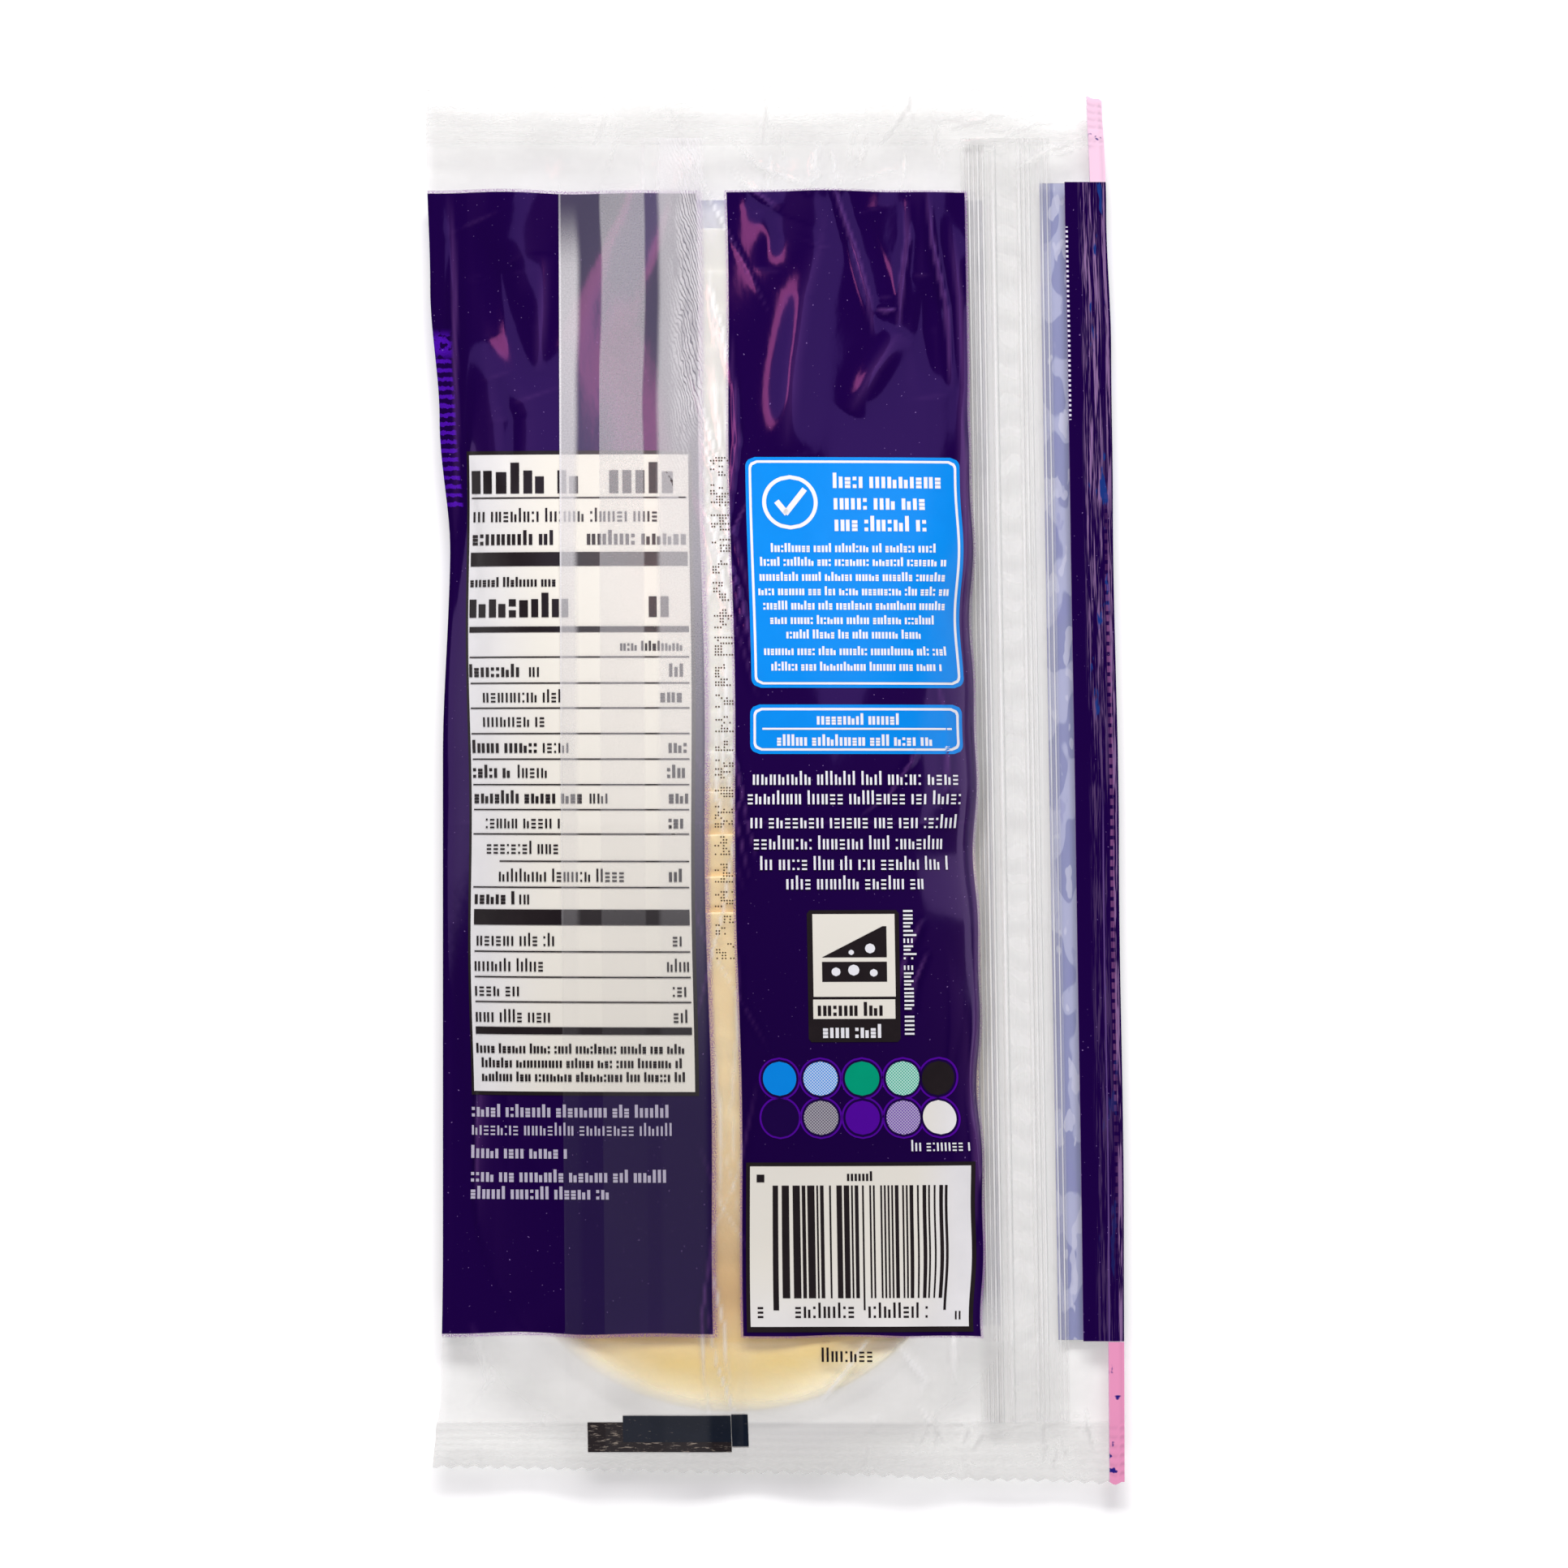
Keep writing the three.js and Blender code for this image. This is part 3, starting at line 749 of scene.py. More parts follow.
# the crease maps ride on the film as attributes, for its painted highlights on ridges and painted shade in
# valleys
for layer_name, crease_map in (("ridge", film_ridges), ("valley", film_valleys)):
    layer = seam_bm.verts.layers.float.new(layer_name)
    uv_layer = seam_bm.loops.layers.uv.verify()
    for vert in seam_bm.verts:
        vert[layer] = crease_map[grid_point(*(vert.link_loops[0][uv_layer].uv / MM))]
seam_film = new_piece("seam_side_film", seam_bm, [seam_film_material()])
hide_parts("pouch")
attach(seam_film, "root")

# The front of the film, which the pack lies on. It is the same web folded round both sides, with
# a purple print, a clear window over the slices and plain waves. Seen from inside, the print's
# white backing looks pale lavender, in plain blotches, with paler flecks that are painted glints of
# the film's gloss.
FRONT_PRINT_END, FRONT_PRINT_START = 39.3, 49.7


def front_shape(lift):
    def shape(web, along):
        across = across_at(web, along)
        meeting = meeting_height(across, along)
        height = table_side_height(web, along, meeting, half_header(web))
        past_pocket = ease(np.abs(along), POCKET_END, POCKET_END + 1.0)
        crimp = 0.02 * np.sin(np.abs(along) * 2.0 * np.pi / 1.5) * past_pocket
        return across, cut_along(across, along), height + crimp + lift
    return shape


def front_masks(tree):
    """The front's places, and where it is printed: outside the zip's strip and the window."""
    web, u, v = web_coordinates(tree)
    field = larger(
        within(u, -80.0, FRONT_PRINT_END) * within(v, -98.2, 105.8),
        within(u, FRONT_PRINT_START, 80.0) * within(v, -100.8, 108.9),
    )
    window = within(u, -44.0, 26.0) * within(v, -88.0, 12.0)
    return web, u, v, field * (1.0 - window)


def waves(u, v, pitch, swing):
    bend = sine(u * 0.34) * swing
    slow = sine(v * 0.09 + u) * (swing * 1.3)
    return sine((v + bend + slow) * (math.tau / pitch))


def front_film_material():
    material, tree, place, ink, output = new_material("front_print")
    _, u, v, field = front_masks(tree)
    ribbon = rise(waves(u, v, 17.0, 5.0), 0.35, 0.4)
    lower = rise(v, 20.0, 30.0)
    shade = blend_colour(ribbon * lower, INK_PURPLE, (0.045, 0.012, 0.33, 1))
    give(ink, {
        "Base Color": shade, "Roughness": 0.3, "Coat Weight": 0.6, "Coat Roughness": 0.07,
        "Normal": rippled_normal(place, 0.35, 0.05),
    })
    clear = clear_surface(place, 0.03, 0.25, 0.25, 0.4, 0.08)
    feed(output.inputs["Surface"], mixed(field, clear, ink.outputs[0]))
    return material


def backing_material():
    material, tree, place, ink, output = new_material("print_backing")
    web, _, _, field = front_masks(tree)
    patches = noise(stretched(web, 210.0, 95.0), 1.0, 1.0, 0.5)
    shade = blend_colour(rise(patches, 0.5, 0.53), (0.27, 0.29, 0.52, 1), (0.45, 0.47, 0.68, 1))
    fleck = noise(stretched(web, 330.0, 120.0), 1.0, 2.0, 0.5)
    # painted highlight: the paler flecks stand for glints of the film's gloss
    shade = blend_colour(rise(fleck, 0.6, 0.62) * 0.6, shade, (0.66, 0.67, 0.82, 1))
    shade = blend_colour(rise(fleck, 0.4, 0.38) * 0.4, shade, (0.26, 0.27, 0.54, 1))
    give(ink, {"Base Color": shade, "Roughness": 0.4, "Normal": rippled_normal(place, 0.4, 0.08)})
    bare = add_node(tree, "BsdfTransparent")
    feed(output.inputs["Surface"], mixed(field, bare.outputs[0], ink.outputs[0]))
    return material


front_bm = sheet(110, 220, front_shape(0.0))
bmesh.ops.reverse_faces(front_bm, faces=front_bm.faces[:])
front_film = new_piece("front_film", front_bm, [front_film_material()])
backing = new_piece("front_print_backing", sheet(110, 220, front_shape(0.06)), [backing_material()])
for piece in (front_film, backing):
    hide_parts("pouch")
    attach(piece, "root")

# The zip. Two ribbed plastic tracks press together inside the pack, and their flanges are welded
# to the film beside the pocket. Through the clear film they show as pale lines down the pack, with a
# painted highlight on each rib's crest and on its lumps, and painted shade at one foot of each rib.
ZIP_RIBS = (
    (35.9, 0.3, 0.35), (36.9, 0.3, 0.35), (37.7, 0.25, 0.3), (38.5, 0.35, 0.4), (39.4, 0.3, 0.3),
    (41.2, 0.6, 0.7), (45.9, 0.45, 0.6), (46.8, 0.35, 0.45), (47.7, 0.3, 0.3), (50.1, 0.35, 0.35),
    (51.0, 0.3, 0.3),
)


def zip_material():
    material, tree, _, surface, output = new_material("zip_plastic")
    web, u, v = web_coordinates(tree)
    pale, painted_foot_shade = None, None
    # painted light: each rib's crest is paled as a highlight and one foot of it darkened as shade
    for middle, width, _ in ZIP_RIBS:
        crest = within(u, middle - width * 0.3, middle + width * 0.3, 0.07)
        foot = within(u, middle + width * 0.62, middle + width * 1.0, 0.07)
        pale = crest if pale is None else larger(pale, crest)
        painted_foot_shade = foot if painted_foot_shade is None else larger(painted_foot_shade, foot)
    streak = noise(stretched(web, 1100.0, 14.0), 1.0, 2.0, 0.6)
    inside = noise(stretched(web, 300.0, 110.0), 1.0, 4.0, 0.6)
    broken = rise(noise(stretched(web, 700.0, 40.0), 1.0, 2.0, 0.5), 0.35, 0.55)
    pale = pale * (0.35 + broken * 0.65)
    tone = blend_colour(painted_foot_shade, (0.78, 0.775, 0.765, 1), (0.5, 0.5, 0.51, 1))
    tone = blend_colour(rise(inside, 0.5, 0.7) * 0.5, tone, (0.62, 0.62, 0.62, 1))
    # painted light: the crushed lumps are paled as highlights and greyed between them as shade
    beat = v * (math.tau / 6.1) + noise(stretched(web, 150.0, 60.0), 1.0, 1.0) * 12.0
    lump = sine(beat) * within(u, 41.8, 45.6, 0.9)
    pale = larger(pale, rise(lump, 0.2, 0.75) * 0.36)
    tone = blend_colour(rise(lump, -0.2, -0.8) * 0.3, tone, (0.66, 0.66, 0.66, 1))
    tone = blend_colour(pale, tone, (0.95, 0.95, 0.95, 1))
    give(surface, {
        "Base Color": tone, "Roughness": 0.14, "Specular IOR Level": 0.8,
        "Normal": bumped((streak + inside).socket, 0.35, 0.0006),
    })
    share = 0.2 + pale * 0.55 + painted_foot_shade * 0.12 + within(u, 39.3, 49.8, 0.3) * 0.16
    share = share + within(u, 36.3, 39.5, 0.2) * 0.5 + rise(streak, 0.52, 0.64) * 0.1
    bare = add_node(tree, "BsdfTransparent")
    feed(output.inputs["Surface"], mixed(clamped(share), bare.outputs[0], surface.outputs[0]))
    return material


def build_zip():
    bm = bmesh.new()
    bmesh.ops.create_grid(bm, x_segments=200, y_segments=70, size=1.0, calc_uvs=True)
    flat = np.array([v.co[:2] for v in bm.verts])
    web = 35.4 + (flat[:, 0] + 1) / 2 * 16.2
    along = 0.5 + flat[:, 1] * 116.5
    across = across_at(web, along)
    centre = meeting_height(across, along)
    rib = np.zeros_like(web)
    for middle, width, height in ZIP_RIBS:
        rib = np.maximum(rib, height * np.sqrt(np.clip(1.0 - ((web - middle) / width) ** 2, 0.0, 1.0)))
    crushed = 1.0 - 0.7 * ease(np.abs(along), 113.0, 116.0)
    height = centre + 0.1 + rib * crushed
    put(bm, across, along, height)
    lay_uvs(bm, web, along)
    return new_piece("zip_tracks", bm, [zip_material()])


zip_tracks = build_zip()
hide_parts("pouch")
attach(zip_tracks, "root")

# The print on the seam side. The inside of the film carries a white facts panel with black rules,
# two blue boxes, a pictogram label, colour test spots and a bar code, in flat inks. Words are
# stood for by plain strokes and dots, and no letter or number is drawn.
PANEL_LEAN, RIGHT_LEAN = 0.008, 0.0165
PRINT_LIFT = 0.07

PANEL_LINES = (
    ("heavy", 55.3, -54.7, -31.5, 5.59), ("heavy", 55.3, -29.5, -15.1, 5.59),
    ("plain", 48.6, -54.4, -20.6, 2.50), ("bold", 44.5, -54.5, -38.0, 2.65),
    ("bold", 44.5, -33.6, -15.2, 2.65), ("bold", 36.5, -54.8, -38.7, 1.76),
    ("heavy", 32.3, -54.9, -36.8, 4.41), ("heavy", 32.6, -22.5, -15.3, 5.00),
    ("bold", 24.9, -27.7, -15.4, 1.76), ("bold", 20.5, -55.0, -45.0, 2.35),
    ("plain", 20.5, -44.2, -42.2, 2.35), ("bold", 20.5, -18.9, -15.4, 2.35),
    ("plain", 15.9, -52.6, -37.7, 2.35), ("bold", 15.9, -20.5, -15.5, 2.35),
    ("plain", 11.5, -52.7, -41.2, 2.35), ("bold", 6.8, -54.8, -42.6, 2.35),
    ("plain", 6.8, -41.8, -37.0, 2.35), ("bold", 6.8, -19.1, -15.5, 2.35),
    ("bold", 2.3, -54.8, -47.2, 2.35), ("plain", 2.3, -46.4, -40.4, 2.35),
    ("bold", 2.3, -19.4, -15.7, 2.35), ("bold", -2.3, -54.6, -34.3, 2.35),
    ("plain", -2.3, -33.4, -30.0, 2.35), ("bold", -2.3, -19.1, -15.6, 2.35),
    ("plain", -6.8, -52.5, -38.6, 2.35), ("bold", -6.8, -19.2, -15.6, 2.35),
    ("plain", -11.4, -52.3, -38.8, 2.35), ("plain", -16.4, -50.0, -26.6, 2.35),
    ("bold", -16.4, -19.2, -15.7, 2.35), ("bold", -20.5, -54.4, -47.1, 2.35),
    ("plain", -20.5, -46.3, -44.3, 2.35), ("plain", -28.0, -54.0, -39.5, 2.35),
    ("plain", -28.0, -18.6, -15.7, 2.35), ("plain", -32.6, -54.4, -41.3, 2.35),
    ("plain", -32.6, -19.7, -15.5, 2.35), ("plain", -37.1, -54.4, -45.6, 2.35),
    ("plain", -37.1, -18.7, -15.6, 2.35), ("plain", -41.8, -54.4, -40.2, 2.35),
    ("plain", -41.8, -18.6, -15.5, 2.35), ("bold", -47.7, -54.5, -15.8, 1.76),
    ("bold", -50.3, -53.6, -17.2, 1.76), ("bold", -52.8, -53.6, -16.7, 1.76),
)
PANEL_RULES = (
    (51.7, -54.7, 0.24), (40.6, -54.8, 2.50), (27.9, -54.9, 1.03), (22.9, -54.9, 0.24),
    (18.2, -54.8, 0.24), (13.7, -54.9, 0.24), (9.1, -54.9, 0.24), (4.5, -54.8, 0.24),
    (-0.1, -54.8, 0.24), (-4.6, -54.7, 0.24), (-9.0, -54.8, 0.24), (-13.9, -49.9, 0.24),
    (-18.6, -54.7, 0.24), (-24.0, -54.5, 2.79), (-30.2, -54.4, 0.24), (-34.8, -54.4, 0.24),
    (-39.3, -54.4, 0.24), (-44.5, -54.5, 1.32),
)
LILAC_LINES = (
    ("bold", -59.0, -55.6, -18.1, 2.35), ("plain", -62.3, -55.6, -18.6, 2.35),
    ("bold", -66.5, -55.7, -37.4, 2.35), ("bold", -70.8, -55.7, -19.5, 2.35),
    ("bold", -73.9, -55.7, -30.3, 2.35),
)
WHITE_LINES = (
    ("bold", 54.8, 11.3, 31.0, 2.79), ("bold", 50.9, 11.4, 27.9, 2.79), ("bold", 47.0, 11.5, 29.3, 2.79),
    ("bold", 42.6, 0.0, 29.8, 1.62), ("bold", 40.1, -2.0, 31.8, 1.62), ("bold", 37.4, -2.2, 32.2, 1.62),
    ("bold", 34.8, -2.5, 32.5, 1.62), ("bold", 32.2, -1.7, 31.7, 1.62), ("bold", 29.6, -0.5, 30.6, 1.62),
    ("bold", 27.0, 2.4, 27.6, 1.62), ("bold", 24.0, -1.8, 32.0, 1.62), ("bold", 21.2, -0.5, 30.8, 1.62),
    ("bold", 11.7, 7.7, 22.8, 2.06), ("bold", 7.9, 0.4, 29.4, 2.06),
    ("plain", 1.1, -4.0, 32.8, 2.50), ("plain", -2.4, -4.9, 33.6, 2.50), ("plain", -6.7, -4.4, 33.1, 2.50),
    ("plain", -10.5, -3.8, 32.6, 2.50), ("plain", -14.2, -2.7, 31.7, 2.50), ("plain", -17.7, 1.8, 27.3, 2.50),
    ("bold", -44.5, 7.9, 19.1, 2.50), ("plain", -65.3, 23.5, 34.2, 2.06),
)
BLACK_LINES = (
    ("bold", -40.5, 7.0, 20.1, 2.50), ("bold", -70.8, 11.8, 17.2, 1.76), ("plain", -95.2, -4.5, -3.0, 2.79),
    ("plain", -95.2, 2.1, 12.8, 2.79), ("plain", -95.2, 15.3, 26.7, 2.79), ("plain", -95.9, 31.5, 32.8, 2.06),
    ("plain", -103.3, 6.7, 16.8, 2.65),
)
SPOTS_ACROSS = (-0.2, 7.3, 14.8, 22.2, 28.9)


def ink_grid(bm, wide, tall, step):
    columns, rows = (max(1, math.ceil(reach / step)) for reach in (wide, tall))
    return bmesh.ops.create_grid(bm, x_segments=columns, y_segments=rows, size=1.0)["verts"]


def patch(bm, x0, x1, y0, y1, corner=0.0, step=0.7):
    """A flat block of ink, in the print's own places, before it is draped on the film."""
    for vert in ink_grid(bm, x1 - x0, y1 - y0, step):
        y = y0 + (vert.co.y + 1) / 2 * (y1 - y0)
        short = max(0.0, corner - min(y - y0, y1 - y))
        inset = corner - math.sqrt(max(0.0, corner**2 - short**2)) if corner else 0.0
        inset = min(inset, (x1 - x0) / 2 * 0.98)
        vert.co.x = x0 + inset + (vert.co.x + 1) / 2 * (x1 - x0 - 2 * inset)
        vert.co.y = y


def spot(bm, x, y, radius, step=0.3):
    patch(bm, x - radius, x + radius, y - radius, y + radius, radius, step)


def strokes(bm, line, chance, step=1.0):
    """A line of print as words of short strokes, bars and dots."""
    weight, middle, start, end, cap = line
    thick = {"plain": 0.155, "bold": 0.24, "heavy": 0.29}[weight] * cap
    gap = {"plain": 0.12, "bold": 0.10, "heavy": 0.09}[weight] * cap
    low = middle - cap / 2
    x = start
    while x < end - thick:
        for _ in range(chance.randint(3, 9)):
            mark = chance.choice("iiiillnnnee.")
            wide = {"i": thick, "l": thick, "n": 2 * thick + gap, "e": 0.36 * cap, ".": thick}[mark]
            if x + wide > end:
                break
            tall = cap if mark == "l" else 0.74 * cap
            if mark == "e":
                for level in (0.0, 0.5, 1.0):
                    bottom = low + level * (tall - thick)
                    patch(bm, x, x + wide, bottom, bottom + thick * 0.85, step=step)
            elif mark == "n":
                patch(bm, x, x + thick, low, low + tall, step=step)
                patch(bm, x + thick + gap, x + wide, low, low + tall * chance.choice((0.74, 1.0)), step=step)
            elif mark == ".":
                patch(bm, x, x + wide, low, low + thick, step=step)
                patch(bm, x, x + wide, low + tall - thick, low + tall, step=step)
            else:
                patch(bm, x, x + wide, low, low + tall, step=step)
            x += wide + gap * 1.5
        x += 0.30 * cap


def draped(name, bm, lean, lift, material):
    places = np.array([v.co[:2] for v in bm.verts])
    across, along = places[:, 0] - lean * places[:, 1], places[:, 1]
    height = film_z(across, along) + lift
    put(bm, wavered(across, along), along, height)
    bmesh.ops.recalc_face_normals(bm, faces=bm.faces[:])
    if bm.faces and sum(f.normal.z for f in bm.faces) < 0:
        bmesh.ops.reverse_faces(bm, faces=bm.faces[:])
    piece = new_piece(name, bm, [material])
    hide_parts("pouch")
    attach(piece, "root")
    return piece


def ink_material(name, colour, other=None, tint=None):
    """A flat ink under gloss film, a little uneven, and toned by what it lies on."""
    material, _, place, surface, _ = new_material(name)
    patchy = noise(place, 240.0, 2.0, 0.6)
    darker = tuple(c * 0.90 for c in colour[:3]) + (1,)
    shade = blend_colour(patchy, other or darker, colour)
    if tint:
        x, y = split(place)
        over_cheese = rise(x, -0.056, -0.04) * rise(x, 0.034, 0.024) * rise(y, -0.105, -0.085)
        shade = blend_colour(over_cheese, shade, tint)
    give(surface, {
        "Base Color": shade, "Roughness": 0.22, "Specular IOR Level": 0.25,
        "Normal": rippled_normal(place, 0.35, 0.02),
    })
    return material


WHITE_INK = ink_material("white_ink", (0.81, 0.80, 0.81, 1), tint=(0.80, 0.77, 0.69, 1))
WHITE_TEXT_INK = ink_material("white_text_ink", (0.84, 0.84, 0.88, 1))
BLACK_INK = ink_material("black_ink", (0.012, 0.009, 0.011, 1), other=(0.022, 0.016, 0.018, 1))
BLUE_INK = ink_material("blue_ink", (0.002, 0.255, 0.80, 1), other=(0.002, 0.225, 0.74, 1))
DEEP_INK = ink_material("deep_purple_ink", (0.010, 0.0006, 0.050, 1), other=(0.012, 0.0007, 0.058, 1))
VIOLET_INK = ink_material("violet_ink", (0.085, 0.002, 0.34, 1))
GREEN_INK = ink_material("green_ink", (0.0, 0.34, 0.19, 1))
LILAC_INK = ink_material("lilac_ink", (0.50, 0.46, 0.58, 1))


def quad(bm, a, b, c, d, step=0.8):
    """A flat block with four free corners, going round from a."""
    wide = max(math.dist(a, b), math.dist(d, c))
    tall = max(math.dist(a, d), math.dist(b, c))
    for vert in ink_grid(bm, wide, tall, step):
        s, t = (vert.co.x + 1) / 2, (vert.co.y + 1) / 2
        for axis in (0, 1):
            low = a[axis] * (1 - s) + b[axis] * s
            high = d[axis] * (1 - s) + c[axis] * s
            vert.co[axis] = low * (1 - t) + high * t


def bar(bm, x0, y0, x1, y1, width):
    reach = math.dist((x0, y0), (x1, y1))
    nx, ny = -(y1 - y0) / reach * width / 2, (x1 - x0) / reach * width / 2
    quad(bm, (x0 + nx, y0 + ny), (x0 - nx, y0 - ny), (x1 - nx, y1 - ny), (x1 + nx, y1 + ny))


chance = random.Random(21)
FINE_STEP = 0.45
for name, x0, x1, y0, y1, lift, ink in (
    ("panel_frame", -55.55, -14.35, -56.2, 60.2, 0.0, BLACK_INK),
    ("panel_white", -55.1, -15.05, -55.5, 59.5, 0.06, WHITE_INK),
):
    layer = bmesh.new()
    patch(layer, x0, x1, y0, y1, step=FINE_STEP)
    draped(name, layer, PANEL_LEAN, PRINT_LIFT + lift, ink)
layer = bmesh.new()
for line in PANEL_LINES:
    strokes(layer, line, chance, FINE_STEP)
for y, x, thick in PANEL_RULES:
    patch(layer, x, -15.4, y - thick / 2, y + thick / 2, step=FINE_STEP)
draped("panel_print", layer, PANEL_LEAN, PRINT_LIFT + 0.16, BLACK_INK)
layer = bmesh.new()
for line in LILAC_LINES:
    strokes(layer, line, chance)
draped("small_print_left", layer, PANEL_LEAN, PRINT_LIFT, LILAC_INK)

for name, inset, corner, lift, ink in (
    ("blue_boxes", 0.0, 1.7, 0.0, BLUE_INK),
    ("box_borders", 0.6, 1.4, 0.04, WHITE_TEXT_INK),
    ("box_fields", 1.05, 1.1, 0.08, BLUE_INK),
):
    layer = bmesh.new()
    for x0, x1, y0, y1 in ((-4.2, 34.3, 17.3, 59.0), (-4.5, 33.9, 5.4, 14.3)):
        patch(layer, x0 + inset, x1 - inset, y0 + inset, y1 - inset, corner, FINE_STEP)
    draped(name, layer, RIGHT_LEAN, PRINT_LIFT + lift, ink)
for name, radius, lift, ink in (("tick_ring", 4.9, 0.12, WHITE_TEXT_INK), ("tick_field", 4.2, 0.15, BLUE_INK)):
    layer = bmesh.new()
    spot(layer, 3.6, 50.8, radius)
    draped(name, layer, RIGHT_LEAN, PRINT_LIFT + lift, ink)
layer = bmesh.new()
bar(layer, 1.2, 51.0, 3.0, 48.7, 1.0)
bar(layer, 2.7, 48.7, 6.2, 53.2, 1.0)
draped("tick_mark", layer, RIGHT_LEAN, PRINT_LIFT + 0.18, WHITE_TEXT_INK)

layer = bmesh.new()
patch(layer, 5.3, 21.9, -46.5, -22.7, 0.5, 0.6)
patch(layer, -6.5, 34.8, -99.2, -68.3)
draped("label_and_code_frames", layer, RIGHT_LEAN, PRINT_LIFT, BLACK_INK)
layer = bmesh.new()
patch(layer, 6.3, 21.1, -38.3, -23.4)
patch(layer, 6.2, 21.0, -42.3, -38.8)
patch(layer, -5.8, 34.0, -98.2, -69.0)
draped("label_and_code_white", layer, RIGHT_LEAN, PRINT_LIFT + 0.04, WHITE_INK)
layer = bmesh.new()
quad(layer, (7.9, -35.6), (19.6, -35.6), (19.6, -32.0), (7.9, -32.0))
quad(layer, (7.9, -31.2), (19.6, -31.2), (19.6, -25.6), (18.9, -25.6))
code = random.Random(5)
x = -1.7
while x < 29.6:
    wide = code.choice((0.33, 0.33, 0.66, 0.66, 0.99, 1.32))
    guard = abs(x + 1.5) < 0.9 or abs(x - 14.0) < 0.8 or x > 28.6
    patch(layer, x, min(x + wide, 29.8), -95.2 if guard else -93.0, -72.5, step=1.2)
    x += wide + code.choice((0.33, 0.33, 0.66, 0.99))
for line in BLACK_LINES:
    strokes(layer, line, chance)
patch(layer, -4.6, -3.2, -71.9, -70.5)
draped("label_and_code_print", layer, RIGHT_LEAN, PRINT_LIFT + 0.08, BLACK_INK)
layer = bmesh.new()
for line in WHITE_LINES:
    strokes(layer, line, chance)
patch(layer, -2.3, 32.0, 9.75, 10.1)
WEDGE_HOLES = (
    (10.4, -33.8, 0.8), (13.6, -33.5, 1.0), (17.2, -34.0, 0.7), (16.6, -29.6, 0.9), (13.2, -30.3, 0.5),
)
for x, y, radius in WEDGE_HOLES:
    spot(layer, x, y, radius, 0.25)
upright = bmesh.new()
strokes(upright, ("plain", 0.0, 22.7, 45.6, 2.3), chance)
for vert in upright.verts:
    vert.co.x, vert.co.y = 23.8 + vert.co.y, -vert.co.x
spare = bpy.data.meshes.new("upright")
upright.to_mesh(spare)
upright.free()
layer.from_mesh(spare)
bpy.data.meshes.remove(spare)
draped("white_small_print", layer, RIGHT_LEAN, PRINT_LIFT + 0.12, WHITE_TEXT_INK)


def halftone_ink(name, paper, dot):
    """Rows of fine dots on paler paper, 0.55 mm apart."""
    material, _, place, surface, _ = new_material(name)
    x, y = split(place)
    turns = math.tau / 0.00055
    share = rise(sine(x * turns) * sine(y * turns), -0.1, 0.15)
    give(surface, {"Base Color": blend_colour(share, paper, dot), "Roughness": 0.28, "Coat Weight": 0.2})
    return material


spots = (
    (0, BLUE_INK), (1, halftone_ink("light_blue_halftone", (0.60, 0.72, 0.90, 1), (0.03, 0.27, 0.80, 1))),
    (2, GREEN_INK), (3, halftone_ink("light_green_halftone", (0.55, 0.80, 0.72, 1), (0.02, 0.42, 0.28, 1))),
    (4, BLACK_INK), (5, DEEP_INK),
    (6, halftone_ink("grey_halftone", (0.45, 0.44, 0.48, 1), (0.09, 0.07, 0.12, 1))), (7, VIOLET_INK),
    (8, halftone_ink("violet_halftone", (0.52, 0.46, 0.66, 1), (0.13, 0.03, 0.36, 1))), (9, WHITE_INK),
)
SPOT_PLACES = [(x, y) for y in (-53.1, -60.2) for x in SPOTS_ACROSS]
for radius, lift, name, ink in ((3.85, 0.0, "spot_rings", VIOLET_INK), (3.5, 0.04, "spot_fields", DEEP_INK)):
    layer = bmesh.new()
    for x, y in SPOT_PLACES:
        spot(layer, x, y, radius)
    draped(name, layer, RIGHT_LEAN, PRINT_LIFT + lift, ink)
for order, ink in spots:
    layer = bmesh.new()
    spot(layer, *SPOT_PLACES[order], 3.1)
    draped(f"colour_spot_{order + 1}", layer, RIGHT_LEAN, PRINT_LIFT + 0.08, ink)

# The dot code and the eye mark. Small dark dots are jetted on the window strip, and a scuffed black
# block with a dark blue one over it is printed on the lower seal, for the packing machine to read.
DOT_LEAN = 0.012
layer = bmesh.new()
jets = random.Random(12)
y = 59.0
while y > -29.0:
    for _ in range(jets.randint(4, 9)):
        first, count = jets.choice((0, 0, 2, 3)), jets.choice((2, 3, 4, 7))
        for row in range(first, min(7, first + count)):
            if jets.random() < 0.88:
                x = -10.8 + row * 0.5 + jets.uniform(-0.05, 0.05)
                patch(layer, x, x + 0.27, y - 0.27, y, step=1.0)
        y -= 0.52
    y -= 1.3
JET_INK = ink_material("jet_ink", (0.030, 0.016, 0.010, 1), other=(0.11, 0.065, 0.04, 1))
draped("jetted_dots", layer, DOT_LEAN, PRINT_LIFT, JET_INK)


def scuffed_ink(name, colour, from_level):
    material, _, place, surface, _ = new_material(name)
    scratch = noise(stretched(place, 500.0, 2600.0), 1.0, 3.0, 0.7)
    scuffs = rise(scratch, from_level, from_level + 0.12)
    rubbed = blend_colour(noise(place, 160.0, 1.0), (0.34, 0.27, 0.2, 1), (0.16, 0.15, 0.15, 1))
    shade = blend_colour(scuffs, colour, rubbed)
    give(surface, {"Base Color": shade, "Roughness": 0.35, "Specular IOR Level": 0.2})
    return material


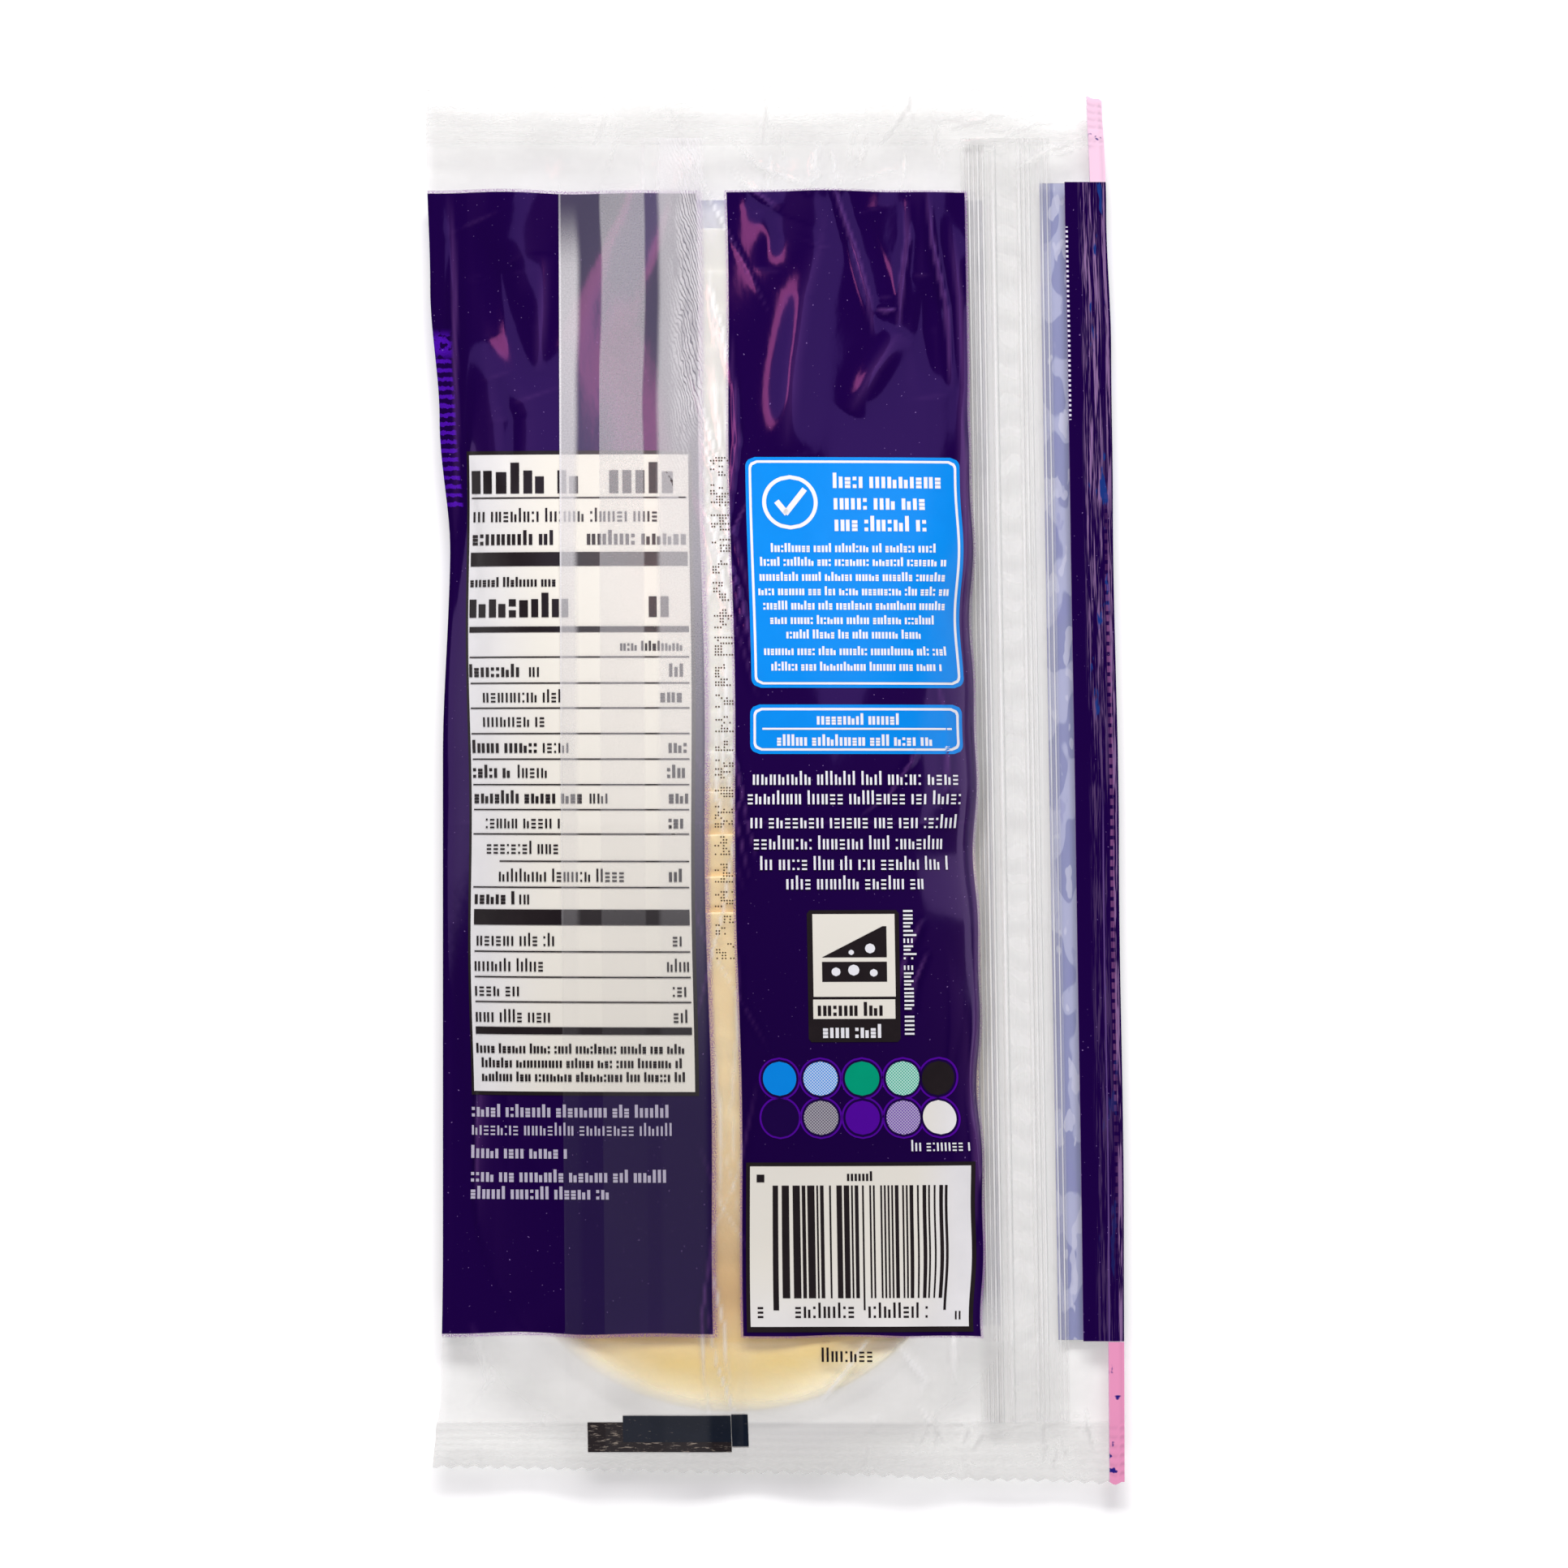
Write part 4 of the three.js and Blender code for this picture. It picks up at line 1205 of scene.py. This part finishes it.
layer = bmesh.new()
patch(layer, -35.9, -10.0, -121.0, -115.6)
EYE_BLACK = scuffed_ink("scuffed_black", (0.014, 0.010, 0.011, 1), 0.55)
draped("eye_mark_black", layer, RIGHT_LEAN, PRINT_LIFT + 0.05, EYE_BLACK)
layer = bmesh.new()
patch(layer, -29.5, -10.0, -119.2, -114.4)
patch(layer, -9.9, -6.9, -120.0, -114.2)
EYE_NAVY = scuffed_ink("scuffed_navy", (0.0045, 0.008, 0.017, 1), 0.64)
draped("eye_mark_blue", layer, RIGHT_LEAN, PRINT_LIFT + 0.09, EYE_NAVY)

# The fin seal. The web's two long edges are welded face to face and folded flat to the left. Its
# outer ply reaches further than its inner one, and the weld is knurled and milky near the root.
FIN_LEAN = 0.0058
FLAP_EDGE, INNER_EDGE = -38.6, -31.4


def fin_material(inner):
    material, tree, place, surface, output = new_material("fin_inner_ply" if inner else "fin_outer_ply")
    web, u, v = web_coordinates(tree)
    grain = 0.62 + noise(web, 3600.0, 2.0, 0.7) * 0.76
    milky = within(u, -23.6, -12.0, 0.8) * rise(v, 106.0, 108.0)
    upper_haze = (0.01 + rise(v, -62.0, 78.0) * 0.99) * larger(rise(v, 109.0, 107.0), milky * 0.8)
    wander = (noise(stretched(web, 1, 0.8), 22.0, 2.0) - 0.5) * 5.0
    u_bent = u + wander * rise(v, 20.0, 90.0)
    if inner:
        flat = within(u_bent, -31.4, -23.4, 0.25) * 0.3
        flat = flat + within(u_bent, -20.8, -12.0, 0.6) * 0.44
        slant = u + v * 0.33
        bend = noise(stretched(web, 1.0, 0.5), 110.0, 4.0, 0.65) * 5.0
        hair = sine((slant + bend) * 11.0)
        feather = rise(hair, -0.9, 0.3) * within(u, -18.0, -11.5, 2.0)
        gaps = rise(noise(stretched(web, 300.0, 60.0), 1.0, 4.0, 0.7), 0.62, 0.46)
        gap = rise(hair, -0.55, -0.9) * within(u, -16.6, -13.0, 1.0) * rise(v, 60.0, 74.0)
        flat = flat * (1.0 - gap * 0.55)
        strength = flat + feather * gaps * (rise(v, 50.0, 70.0) * 0.25)
    else:
        strength = 0.06 + within(u_bent, -39.5, -35.6, 0.7) * rise(v, 106.0, 92.0) * 0.5
        strength = strength + within(u, -39.0, -38.25) * 0.25
    root = 0.12 + rise(u, -11.8, -13.4) * 0.88
    strength = (strength * grain * upper_haze + 0.008) * root
    normal = rippled_normal(place, 0.35, 0.04)
    give(surface, {
        "Base Color": (0.82, 0.80, 0.82, 1), "Roughness": 0.3, "Specular IOR Level": 0.3, "Normal": normal,
    })
    share = clamped(strength + edge_on(normal, 0.3) * 0.1)
    bare = add_node(tree, "BsdfTransparent")
    feed(output.inputs["Surface"], mixed(share, bare.outputs[0], surface.outputs[0]))
    return material


def build_ply(name, edge, lift, material):
    bm = bmesh.new()
    bmesh.ops.create_grid(bm, x_segments=60, y_segments=320, size=1.0, calc_uvs=True)
    flat = np.array([v.co[:2] for v in bm.verts])
    share = (flat[:, 0] + 1) / 2
    along = -126.0 + (flat[:, 1] + 1) / 2 * 243.0
    across = (edge - FIN_LEAN * along) * (1 - share) + (FIN_ROOT - WEB_LEAN * along) * share
    placed = np.maximum(along, 0.3 - side_at(BOTTOM_CUT, across))
    flutter = 0.10 * np.sin(placed / 5.0 + across / 3.0) * ease(share, 1.0, 0.7)
    clear = (lift + flutter) * ease(share, 1.003, 0.95) + 0.03
    height = film_z(across, placed) + clear
    put(bm, across, placed, height)
    lay_uvs(bm, across + FIN_LEAN * placed, placed)
    return new_piece(name, bm, [material])


fin_inner = build_ply("fin_seal_inner_ply", INNER_EDGE, 0.30, fin_material(True))
fin_outer = build_ply("fin_seal_outer_ply", FLAP_EDGE, 0.52, fin_material(False))
for piece in (fin_inner, fin_outer):
    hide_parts("pouch")
    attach(piece, "root")

# The table, the light and the camera. The pack lies on a pale table under broad soft lamps and is
# seen from straight above, as in the photograph.
floor_bm = bmesh.new()
bmesh.ops.create_grid(floor_bm, x_segments=1, y_segments=1, size=3.0)
floor_material, _, _, floor_surface, _ = new_material("pale_table")
give(floor_surface, {
    "Base Color": (0.80, 0.80, 0.80, 1), "Emission Color": (1, 1, 1, 1), "Emission Strength": 0.28,
    "Roughness": 0.8, "Specular IOR Level": 0.1,
})
table = new_piece("table", floor_bm, [floor_material], smooth=False)
table.data.transform(Matrix.Translation((0, 0, -0.0002)))


def area_light(name, place, aim, size, power, tint=(1, 1, 1)):
    lamp = bpy.data.lights.new(name, "AREA")
    lamp.shape = "RECTANGLE"
    lamp.size, lamp.size_y = size
    lamp.energy = power
    lamp.color = tint
    holder = bpy.data.objects.new(name, lamp)
    holder.location = place
    holder.rotation_euler = (Vector(aim) - Vector(place)).to_track_quat("-Z", "Y").to_euler()
    bpy.context.scene.collection.objects.link(holder)


area_light("lamp_head", (0.0, 1.75, 1.25), (0, 0, 0), (1.7, 0.5), 66)
area_light("lamp_foot", (0.0, -1.8, 1.0), (0, 0, 0), (1.6, 0.4), 20)
area_light("lamp_left", (-2.0, 0.2, 0.50), (0, 0, 0), (0.5, 1.6), 2.5)
area_light("lamp_right", (2.0, 0.2, 0.50), (0, 0, 0), (0.5, 1.6), 2.5)
area_light("strip_head", (-0.30, 0.80, 1.72), (0, 0, 0), (0.16, 0.34), 1.05, (1.0, 0.38, 0.38))
area_light("screen_left", (-0.80, 0.72, 1.50), (0, 0, 0), (0.7, 0.9), 1.7, (0.72, 0.66, 1.0))
area_light("screen_right", (0.80, 0.72, 1.50), (0, 0, 0), (0.7, 0.9), 1.7, (0.72, 0.66, 1.0))
world = bpy.data.worlds.new("room")
bpy.context.scene.world = world
world.use_nodes = True
give(world.node_tree.nodes["Background"], {"Color": (1, 1, 1, 1), "Strength": 0.04})

camera_data = bpy.data.cameras.new("camera")
camera = bpy.data.objects.new("camera", camera_data)
camera.location = (0.0016, 0.0, 2.2)
camera_data.sensor_width = 36.0
camera_data.lens = 36.0 * 2.196 / 0.284
bpy.context.scene.collection.objects.link(camera)
bpy.context.scene.camera = camera
bpy.context.scene.view_settings.view_transform = "Standard"
bpy.context.scene.cycles.transparent_max_bounces = 32
